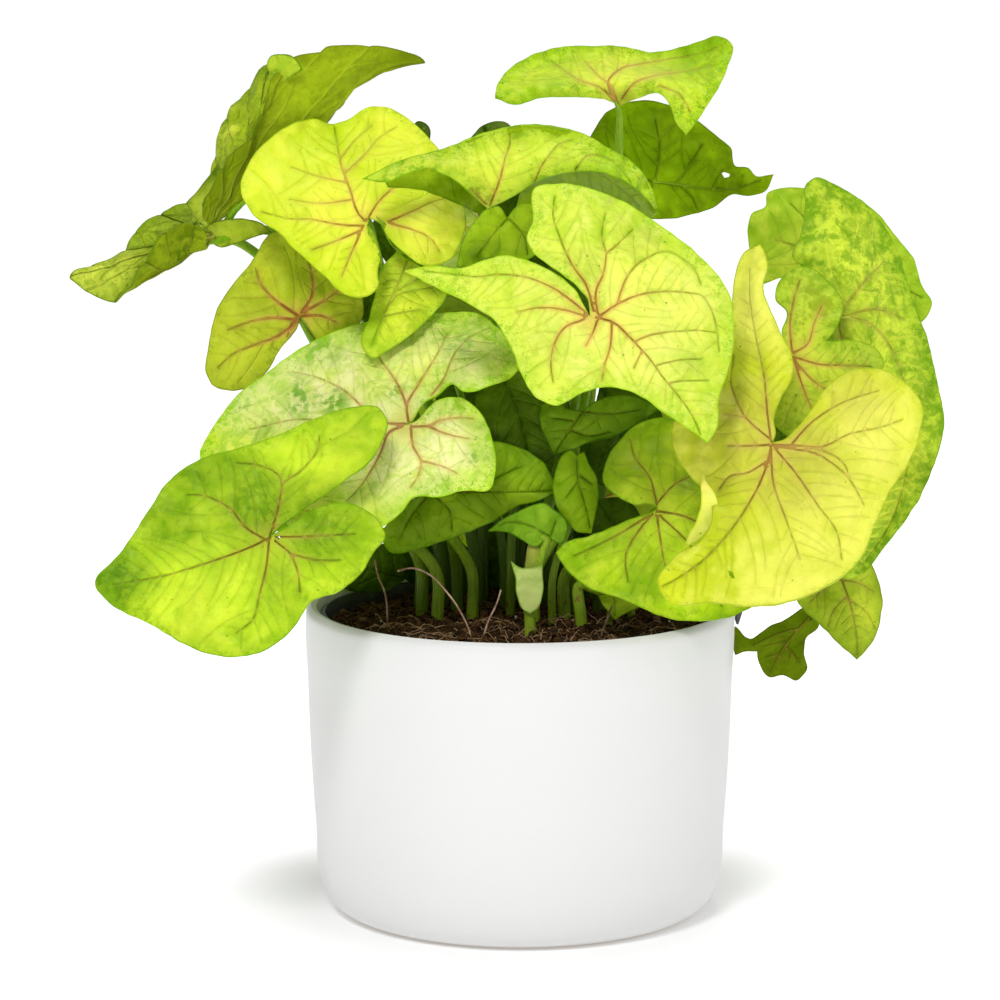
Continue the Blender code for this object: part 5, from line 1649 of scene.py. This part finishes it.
def make_ground_cover():
    """Everything loose on the compost. All of it draws from one set of dice, in this order."""
    dice = random.Random(11)
    small = lump(dice)
    crumb = plain_grain("compost crumb", (0.012, 0.006, 0.002), (0.080, 0.037, 0.012), 500.0, 0.75, 0.0008)
    scatter("compost_crumbs", crumb, small, 620, 2.5, dice)
    bark = plain_grain("bark chip", (0.05, 0.024, 0.010), (0.17, 0.085, 0.04), 420.0, 0.7, 0.0006)
    scatter("bark_chips", bark, small, 90, 2.6, dice)
    grit = plain_grain("perlite grit", (0.62, 0.60, 0.55), (0.90, 0.89, 0.86), 900.0, 0.6)
    scatter("perlite_grit", grit, small, 46, 0.7, dice, 0.4, 0.7)
    bpy.data.objects.remove(small)
    brown = plain_grain("coir fibre", (0.06, 0.026, 0.008), (0.24, 0.115, 0.038), 700.0, 0.65)
    fibres("coir_fibres", brown, 420, 15.0, 0.16, dice, 2.5)
    tan = plain_grain("pale root hair", (0.34, 0.20, 0.10), (0.66, 0.44, 0.26), 700.0, 0.6)
    fibres("root_hairs", tan, 150, 14.0, 0.15, dice, 3.5, True)


def pale_floor():
    """A white floor that glows, less so round the pot, so that the pot meets it in a soft shade."""
    made, tree, shader, place = shader_of("pale studio floor")
    share = grain(tree, place, 1.5, 2.0)
    colour = tint(tree, share, (0.90, 0.90, 0.90, 1), (0.92, 0.92, 0.92, 1))
    tree.links.new(colour, shader.inputs["Base Color"])
    shader.inputs["Roughness"].default_value = 0.85
    shader.inputs["Specular IOR Level"].default_value = 0.1
    away = node(tree, "ShaderNodeVectorMath", {0: place}, operation="LENGTH").outputs["Value"]
    near = tint(tree, ease(tree, away, 0.060, 0.110), (0.22, 0.22, 0.22, 1), (0.52, 0.52, 0.52, 1))
    glow = tint(tree, ease(tree, away, 0.11, 1.2), near, (0.70, 0.70, 0.70, 1))
    tree.links.new(glow, shader.inputs["Emission Color"])
    shader.inputs["Emission Strength"].default_value = 1.0
    return made


def set_stage():
    """The floor, the even light all round, and three lamps: (name, place, size, power)."""
    bpy.ops.object.select_all(action="DESELECT")
    bpy.ops.mesh.primitive_plane_add(size=60.0, location=(0, 0, 0))
    floor = bpy.context.view_layer.objects.active
    floor.name = "pale_floor"
    floor.data.materials.append(pale_floor())
    world = bpy.data.worlds.new("studio")
    world.use_nodes = True
    world.node_tree.nodes["Background"].inputs[0].default_value = (1, 1, 1, 1)
    world.node_tree.nodes["Background"].inputs[1].default_value = 0.36
    bpy.context.scene.world = world
    softbox("key_light", (-0.40, -1.25, 1.45), 0.50, 14.0)
    softbox("fill_light", (1.1, -1.0, 0.8), 0.9, 2.4)
    softbox("top_light", (0.15, 0.25, 1.6), 0.6, 6.5)


def softbox(name, place, size, power):
    """A round lamp that looks at the middle of the plant."""
    lamp = bpy.data.lights.new(name, "AREA")
    lamp.shape = "DISK"
    lamp.size = size
    lamp.energy = power
    made = bpy.data.objects.new(name, lamp)
    made.location = place
    aim = Vector((0, 0, 0.13)) - Vector(place)
    made.rotation_euler = aim.to_track_quat("-Z", "Y").to_euler()
    bpy.context.scene.collection.objects.link(made)


def set_camera():
    """A camera at the sketch's eye, with the same view."""
    lens = bpy.data.cameras.new("photo_view")
    lens.sensor_width = 36.0
    lens.lens = REACH / 1000 * lens.sensor_width
    lens.clip_end = 200.0
    camera = bpy.data.objects.new("photo_view", lens)
    camera.location = EYE
    camera.rotation_euler = (math.pi / 2 - PITCH, 0, 0)
    bpy.context.scene.collection.objects.link(camera)
    bpy.context.scene.camera = camera
    bpy.context.scene.view_settings.view_transform = "Standard"


make_pot()
make_liner()
make_deep_leaves()
make_soil()
make_ground_cover()
make_roots()
make_front_sleeve()

leaf(
    "leaf_front_centre", "lime", (590, 317, 60), [
        (582,302,-1), (575,290,-1), (564,280,-1), (549,270), (533,263), (505,256,-2), (480,262),
        (465,268), (430,266,1), (405,271,2), (430,284,2), (465,302), (495,321), (513,352),
        (523,378), (540,400), (556,405), (580,394,-2), (610,387,-5), (640,396,-5), (663,412,-3),
        (690,430), (707,443), (717,428,-2), (718,400,-5), (729,368,-8), (734,330,-10),
        (730,297,-10), (715,272,-10), (690,248,-8), (655,222,-6), (625,203,-4), (600,192),
        (560,184), (533,190), (532,206), (533,222), (527,238,1), (535,254), (550,266), (566,277),
        (578,287), (587,298),
    ],
    (707, 443), (3, -2), lean=(0.0, 0.55), bow=3.0,
    via=[(585, 345, 30), (572, 410, 3), (550, 500, 1)],
)

leaf(
    "leaf_lower_left", "green", (270, 536, 62), [
        (288,521,-2), (310,505,-4), (338,486,-4), (350,477,-3), (365,467,-2), (380,446),
        (387,420,-2), (378,408,-4), (350,408,-4), (312,420,-3), (280,434,-3), (240,448,-4),
        (200,460,-6), (170,480,-6), (148,512,-5), (128,542,-4), (118,556,-2), (95,583), (108,602),
        (125,613), (150,624,1), (180,642,2), (205,653,3), (235,657,3), (262,652,3), (284,638,2),
        (298,622,1), (310,603), (340,591,-2), (362,572,-4), (374,552,-5), (385,538,-5),
        (378,520,-3), (362,508,-1), (345,503,1), (315,509,2), (290,526,2),
    ],
    (95, 583), (-26, -3), lean=(0.05, 0.42), bow=2.5,
    via=[(300, 556, 44), (345, 547, 25), (396, 534, 9)],
)

leaf(
    "leaf_mid_left", "cream", (408, 425, 32), [
        (417,414), (424,404,-1), (440,394,-2), (452,384,1), (463,391,3), (490,386,2), (517,371),
        (515,350,-1), (500,330,-2), (480,315,-4), (440,313,-6), (400,318,-7), (355,325,-7),
        (330,334,-6), (295,352,-5), (265,375,-4), (240,393,-3), (215,425,-2), (200,455), (210,480),
        (240,508), (275,530), (308,540), (345,538), (384,526), (400,514), (414,498,1), (440,497,3),
        (462,491,2), (490,489), (495,475), (492,440,-2), (482,415,-3), (462,398,-3), (440,400,-2),
        (425,412,-1), (417,421),
    ],
    (200, 455), (-20, 8), lean=(0.20, 0.50), bow=3.0,
    via=[(414, 442, 12), (430, 470, 2), (452, 540, -5)],
)

leaf(
    "leaf_right", "yellow", (772, 443, 58), [
        (775,434), (774,418), (781,399,1), (792,376,1), (792,358,1), (784,340), (770,308),
        (763,288), (768,262,-2), (760,244,-6), (745,252,-8), (735,275,-8), (732,310,-10),
        (730,350,-11), (722,385,-10), (700,405,-7), (672,425,-4), (674,450,-3), (690,476,-4),
        (709,498,-3), (711,522,1), (698,543,3), (675,556,2), (658,584,1), (668,602), (710,603,1),
        (750,607,1), (790,602), (825,588,-2), (858,562,-4), (873,530,-5), (890,492,-6),
        (908,465,-7), (919,435,-8), (922,405,-8), (905,382,-7), (880,370,-6), (850,371,-4),
        (825,390,-3), (809,413,-2), (795,430,-1), (783,440),
    ],
    (658, 584), (14, -5), lean=(0.0, 0.45), via=[(760, 440, 30), (712, 470, 12), (640, 540, 7)],
)

add_piece(
    "leaf_right", "yellow", (703, 474, 62), [
        (710,486,2), (718,502,3), (715,519,4), (704,535,6), (683,549,7), (690,533,7), (698,517,5),
        (701,500,3), (701,486,1),
    ],
    bow=1.0,
)

leaf(
    "leaf_upper_left", "yellow", (369, 218, 14), [
        (368,228), (375,243), (380,256), (377,272,1), (378,286,1), (372,294,1), (360,298,1),
        (345,295), (325,277), (300,254), (275,230,-1), (253,215,-2), (241,190,-4), (250,161,-6),
        (268,140,-9), (290,125,-13), (312,119,-18), (334,124,-22), (350,119,-22), (366,108,-20),
        (385,107,-18), (403,115,-15), (422,131,-12), (440,152,-10), (452,180,-9), (464,205,-8),
        (466,225,-5), (458,248,1), (447,262,1), (430,266,2), (418,263,2), (408,256,1), (396,246,1),
        (386,234), (380,223),
    ],
    (334, 124), (-14, 12), via=[(376, 252, -3), (400, 330, -9), (445, 450, -14)],
)

add_piece(
    "leaf_upper_left", "green", (367, 224, 17), [
        (371,228,1), (376,240,2), (381,256,3), (381,272,2), (377,286,1), (374,290,-1), (374,272,-2),
        (374,256,-2), (370,242,-2),
    ],
    bow=1.0,
)

add_piece(
    "leaf_upper_left", "green", (376, 216, 14), [
        (382,226,3), (388,240,4), (398,252,5), (410,261,5), (424,268,4), (420,260,1), (408,250,1),
        (397,238,0), (388,226,0),
    ],
    bow=1.0,
)

leaf(
    "leaf_top_centre", "lime", (488, 209, 24), [
        (458,183,4), (442,173,5), (428,168,6), (408,173,6), (392,181,5), (362,179,2), (380,170,1),
        (400,161), (440,150,-4), (470,138,-7), (490,131,-8), (507,127,-9), (530,124,-8),
        (560,127,-7), (590,136,-5), (608,148,-4), (633,163,-3), (650,185,-3), (658,214,-3),
        (645,198,2), (630,185,5), (610,175,6), (588,171,6), (562,174,5), (536,182,3), (512,197,1),
    ],
    (507, 140), (-2, 22), lean=(0.0, 0.10), bow=1.0,
    via=[(494, 235, 4), (500, 300, -10), (512, 420, -18)],
)

add_piece(
    "leaf_top_centre", "lime", (388, 187, 21), [
        (425,191,-3), (455,203,-8), (480,214,-17), (505,222,-47), (540,218,-43), (580,218,-35),
        (622,222,-23), (648,221,-7), (656,212,0), (649,187,-0.2), (632,165,-1), (607,150,-2.5),
        (590,138,-4), (560,129,-6.2), (530,126,-7.2), (507,129,-8.2), (490,133,-7), (470,140,-5.8),
        (440,152,-2.5), (400,163,1.8), (380,172,2),
    ],
    bow=-4.0,
)

folded_leaf(
    "leaf_far_left_high", "olive", (212, 226, -10), [
        [(204,220,2), (203,206,4)], (208,192,5), (220,166,5), (232,150,4), (250,137,3), (263,115,2),
        (268,90,1), (284,68,0), (320,51,-2), (370,47,-6),
        [(300,146,-6), (345,97,-10), (371,75,-11), (397,64,-11), (423,60,-10)],
        [(300,148,-7), (345,100,-12), (376,73,-14)], [(300,150,-8), (340,106,-14), (357,87,-18)],
        [(285,160,-11), (338,106,-22)], [(262,165,-14), (300,122,-26)],
        [(262,140,-18), (292,60,-36)], [(256,140,-19), (268,61,-38)], [(245,150,-18), (250,88,-38)],
        [(236,160,-16), (228,120,-34)], [(222,190,-12), (218,158,-28)],
        [(213,210,-12), (212,180,-22)],
    ],
    10, (-24, 28), lean=(-0.15, 0.10),
    via=[(240, 228, -16), (280, 234, -26), (350, 300, -33), (420, 430, -31)],
)

add_piece(
    "leaf_far_left_high", "green", (294, 74, -17), [
        (282,82,-2), (271,76,-2), (267,64,0), (271,56,1), (280,54,2), (289,55,2), (298,61,2),
        (303,70,1),
    ],
    bow=1.0,
)

folded_leaf(
    "leaf_far_left_low", "olive", (216, 236, -4), [
        [(208,250,1), (207,233,6)], [(188,253,2), (194,224,8)], [(172,259,3), (166,236,9)],
        [(157,268,3), (146,262,8)], [(142,278,3), (131,287,5)], (113,299,3), (85,291,1), (69,276,0),
        (90,267,-3), (125,250,-8), (135,233,-12), (160,214,-15), [(200,222,-8), (187,203,-14)],
    ],
    7, (-25, 19), lean=(0.02, 0.05),
    via=[(238, 242, -12), (262, 258, -18), (330, 340, -20), (400, 460, -22)],
)

add_piece(
    "leaf_far_left_low", "olive", (206, 240, -6), [
        (202,230,-4), (213,223,-4), (228,219,-3), (246,219,-4), (262,223,-5), (272,232,-7),
        (254,237,-5), (238,243,-3), (222,247,-1),
    ],
    bow=0.0,
)

add_piece(
    "leaf_far_left_low", "olive", (184, 205, -22), [
        (196,192,-1), (207,178,-3), (218,164,-4), (226,178,-4), (222,200,-2), (214,220,3),
        (206,229,8), (196,222,6), (188,214,3),
    ],
    bow=0.0,
)

leaf(
    "leaf_left_back", "olive", (300, 317, 0), [
        (313,334), (322,344,1), (336,342), (354,332), (363,316), (362,296), (350,276), (332,262,-1),
        (310,240,-2), (290,230,-3), (268,236,-4), (255,257,-4), (238,278,-3), (222,300,-2),
        (213,322,-1), (208,350), (206,372), (212,384,1), (232,391,1), (252,386), (268,370),
        (280,350), (290,337), (297,328),
    ],
    (255, 257), (-31, 3), lean=(-0.03, 0.22), via=[(316, 345, -6), (355, 430, -2), (400, 520, 0)],
)

leaf(
    "leaf_hanging_small", "lime", (417, 246, 3), [
        (405,246), (393,256), (384,266), (378,278), (374,300), (367,325), (361,344), (366,354),
        (374,358), (384,353), (402,341), (422,325), (438,308), (447,294), (446,276), (438,258),
        (428,247),
    ],
    (366, 354), (-5, 10), lean=(0.0, 0.62), bow=3.0, stalk=(1.0, 1.6),
    via=[(428, 285, -5), (462, 400, -6)],
)

leaf(
    "leaf_under_top", "lime", (507, 218, 29), [
        (498,206), (484,211,2), (471,226,3), (461,245,4), (456,267,5), (470,269,2), (482,260,-4),
        (500,258,-7), (522,262,-8), (540,250,-8), (545,225,-6), (535,205,-2), (520,204),
    ],
    (470, 269), (-3, 3), lean=(0.0, 0.35), bow=2.5, stalk=(1.0, 1.6),
    via=[(510, 250, 10), (520, 350, -4)],
)

leaf(
    "leaf_top_right", "lime", (620, 106, -22), [
        (607,100,4), (590,98,9), (565,97,13), (540,98,15), (515,105,16), (495,98,14), (497,86,8),
        (508,70,0), (528,57,-8), (555,48,-16), (590,46,-22), (625,47,-26), (650,52,-26),
        (675,49,-24), (700,41,-20), (720,36,-14), (733,46,-8), (728,66,-3), (720,86,3), (708,104,8),
        (698,120,12), (686,135,14), (676,122,13), (669,104,11), (658,93,7), (642,97,3),
    ],
    (590, 46), (9, 21), lean=(0.0, 0.0), via=[(619, 150, -25), (610, 250, -29), (580, 420, -26)],
)

leaf(
    "leaf_back_right_dark", "deep", (622, 178, -48), [
        (600,165,2), (585,148,3), (592,134,1), (606,113,-2), (635,101,-4), (668,104,-5),
        (698,121,-6), (718,137,-5), (731,148,-4), (735,166,-2), (748,168), (756,176,1), (774,174,2),
        (766,190,2), (748,196,1), (732,194), (716,206), (690,215,1), (660,219,2), (632,216,2),
        (605,206,2), (596,188,1),
    ],
    (774, 174), (15, 28), lean=(0.0, -0.10), bow=3.0, face=-1,
    via=[(614, 200, -40), (606, 240, -37), (590, 400, -35)],
)

leaf(
    "leaf_right_mottled", "green", (838, 316, 14), [
        (826,300,-1), (812,284,-3), (803,268,-5), (793,258,-6), (800,236,-6), (805,205,-7),
        (806,184,-8), (815,178,-10), (838,186,-12), (862,202,-12), (884,226,-11), (900,258,-9),
        (912,300,-7), (928,342,-4), (938,388), (944,420,2), (936,458,4), (918,500,6), (890,540,7),
        (852,578,7), (820,570,6), (800,530,5), (800,470,3), (806,420,2), (812,380,1), (818,345),
        (824,330),
    ],
    (852, 578), (25, 8), lean=(-0.20, 0.12), bow=4.0,
    via=[(815, 345, -4), (765, 440, -16), (690, 540, -15)],
)

leaf(
    "leaf_right_inner", "green", (792, 355, 34), [
        (784,343,-1), (782,330,-2), (787,312,-4), (776,300,-4), (778,284,-6), (797,268,-8),
        (812,268,-9), (828,282,-8), (843,303,-7), (838,325,-5), (826,341,-4), (850,340,-6),
        (878,350,-8), (884,366,-7), (868,380,-5), (850,400,-3), (835,428,-2), (812,440,-1),
        (790,438), (775,424), (771,402), (777,382), (785,370),
    ],
    (835, 428), (18, 1), lean=(0.0, 0.20), bow=1.5,
    via=[(778, 385, 16), (735, 460, -5), (650, 550, -6)],
)

leaf(
    "leaf_right_pale", "lime", (842, 262, -26), [
        (826,270), (800,276), (784,277), (763,284), (752,258), (748,228), (752,214), (766,206),
        (767,194), (778,189), (806,188), (840,190,-2), (872,208,-3), (896,236,-3), (915,262,-2),
        (921,284,-1), (932,302), (922,322), (904,330), (872,312), (852,282),
    ],
    (932, 302), (27, 14), lean=(0.0, 0.10), bow=3.0,
    via=[(820, 320, -37), (765, 430, -33), (700, 540, -22)],
)

leaf(
    "leaf_centre_right", "green", (657, 508, 36), [
        (648,504), (638,505), (622,499), (603,482), (606,462,-1), (617,443,-2), (635,426,-3),
        (664,418,-4), (692,430,-5), (716,456,-6), (742,492,-6), (764,528,-5), (776,562,-4),
        (766,594), (738,614,1), (702,621,1), (668,618,1), (640,607,1), (615,597,2), (590,589,2),
        (568,571,2), (556,553,2), (566,543,1), (590,536), (608,529), (630,519), (648,513),
    ],
    (776, 562), (19, -18), lean=(-0.05, 0.40), bow=2.5, via=[(640, 545, 26), (600, 590, 20)],
)

leaf(
    "leaf_centre_dark", "deep", (428, 492, 16), [
        (425,478), (424,462), (445,450), (470,442), (496,441), (522,449), (544,463), (552,478),
        (556,490), (546,498), (520,505), (494,521), (460,535), (420,548), (390,552), (382,536),
        (392,518), (412,502),
    ],
    (556, 490), (-15, -2), lean=(0.05, 0.15), bow=2.5, via=[(444, 525, 8)],
)

leaf(
    "leaf_centre_upright", "deep", (577, 456, 20), [
        (570,450), (562,456), (556,470), (553,488), (557,507), (567,521), (578,532), (591,533),
        (595,516), (598,496), (597,478), (590,466), (584,452),
    ],
    (591, 533), (10, -14), lean=(0.0, 0.35), stalk=(0.9, 1.5), via=[(576, 500, 15)],
)

leaf(
    "leaf_centre_shaded", "deep", (582, 411, 14), [
        (570,409), (556,402), (541,404), (540,424), (546,440), (554,454), (572,450), (592,442),
        (616,436), (640,422), (660,410), (640,398), (612,396), (594,402),
    ],
    (554, 454), (5, -9), lean=(0.0, 0.40), stalk=(0.9, 1.5), via=[(578, 440, 9), (566, 520, 7)],
)

leaf(
    "leaf_under_right", "green", (612, 584, 14), [
        (604,582), (596,588), (600,600), (608,611), (615,620), (627,613), (640,606), (640,590),
        (626,582),
    ],
    (615, 620), (28, -10), lean=(0.0, 0.6), bow=1.5, stalk=(0.8, 1.3),
)

leaf(
    "leaf_low_right", "green", (838, 572, -10), [
        (826,574), (806,586), (797,600), (804,610), (820,625), (838,643), (857,660), (868,648),
        (878,628), (882,602), (878,580), (868,560), (850,556),
    ],
    (857, 660), (35, -2), lean=(-0.1, 0.3), bow=3.0, stalk=(0.9, 1.5),
    via=[(800, 558, -14), (720, 560, -8)],
)

leaf(
    "leaf_low_right_ragged", "olive", (818, 608, -30), [
        (806,607), (788,618,1), (774,624), (760,633,1), (752,639), (735,626), (732,640,-1),
        (735,655), (746,651,1), (757,651), (758,660), (770,677), (783,675,1), (796,680), (807,668),
        (804,652,1), (806,638), (818,627),
    ],
    (770, 677), (35, 9), lean=(0.0, 0.1), bow=1.5, face=-1, stalk=(0.9, 1.5),
    via=[(800, 572, -28), (750, 556, -24), (700, 566, -18)],
)

leaf(
    "stem_front", "green", (548, 538, 31), [
        (562,543), (567,535), (566,520), (555,510), (545,503), (525,508,1), (505,518,2),
        (488,531,2), (510,533), (522,540), (535,547),
    ],
    (488, 531), (3, -33), lean=(0.0, 0.3), bow=1.0, stalk=(1.3, 2.1), via=[(537, 570, 32)],
)

add_piece(
    "stem_front", "cream", (530, 614, 35), [
        (539,606), (543,590), (542,565), (529,568), (519,567), (511,561), (515,576), (517,596),
        (523,609),
    ],
    bow=0.0,
)

free_leaf(
    "leaf_back_top", "lime", (-8, 42, 212), -12, 30, 44, (-12, 29),
    via=[(-8, 37, 188), (-10, 30, 140)],
)
free_leaf(
    "leaf_back_centre", "green", (0, 58, 176), 4, 45, 46, (0, 33), via=[(1, 46, 172), (1, 37, 130)],
)
free_leaf(
    "leaf_back_left", "yellow", (-50, 62, 152), -35, 42, 44, (-19, 36),
    via=[(-43, 51, 149), (-26, 40, 118)],
)
free_leaf(
    "leaf_back_right", "lime", (44, 62, 168), 38, 45, 48, (22, 30),
    via=[(37, 53, 164), (26, 36, 125)],
)
free_leaf(
    "leaf_back_low_left", "green", (-66, 26, 134), -80, 40, 40, (-32, 16),
    via=[(-54, 22, 134), (-37, 18, 116)],
)
free_leaf(
    "leaf_back_low_mid", "green", (-20, 69, 119), -14, 64, 43, (-12, 42),
    via=[(-16, 60, 120), (-13, 48, 112)],
)
free_leaf(
    "leaf_back_low_right", "lime", (26, 75, 118), 16, 60, 42, (10, 38),
    via=[(20, 60, 121), (13, 44, 112)],
)
free_leaf(
    "leaf_back_side_right", "green", (66, 58, 124), 60, 45, 38, (34, 20),
    via=[(56, 48, 125), (40, 27, 112)],
)
free_leaf(
    "leaf_inner_back", "deep", (1, 51, 138), 4, 62, 33, (3, 46), via=[(5, 44, 138), (6, 43, 112)],
)

set_stage()
set_camera()
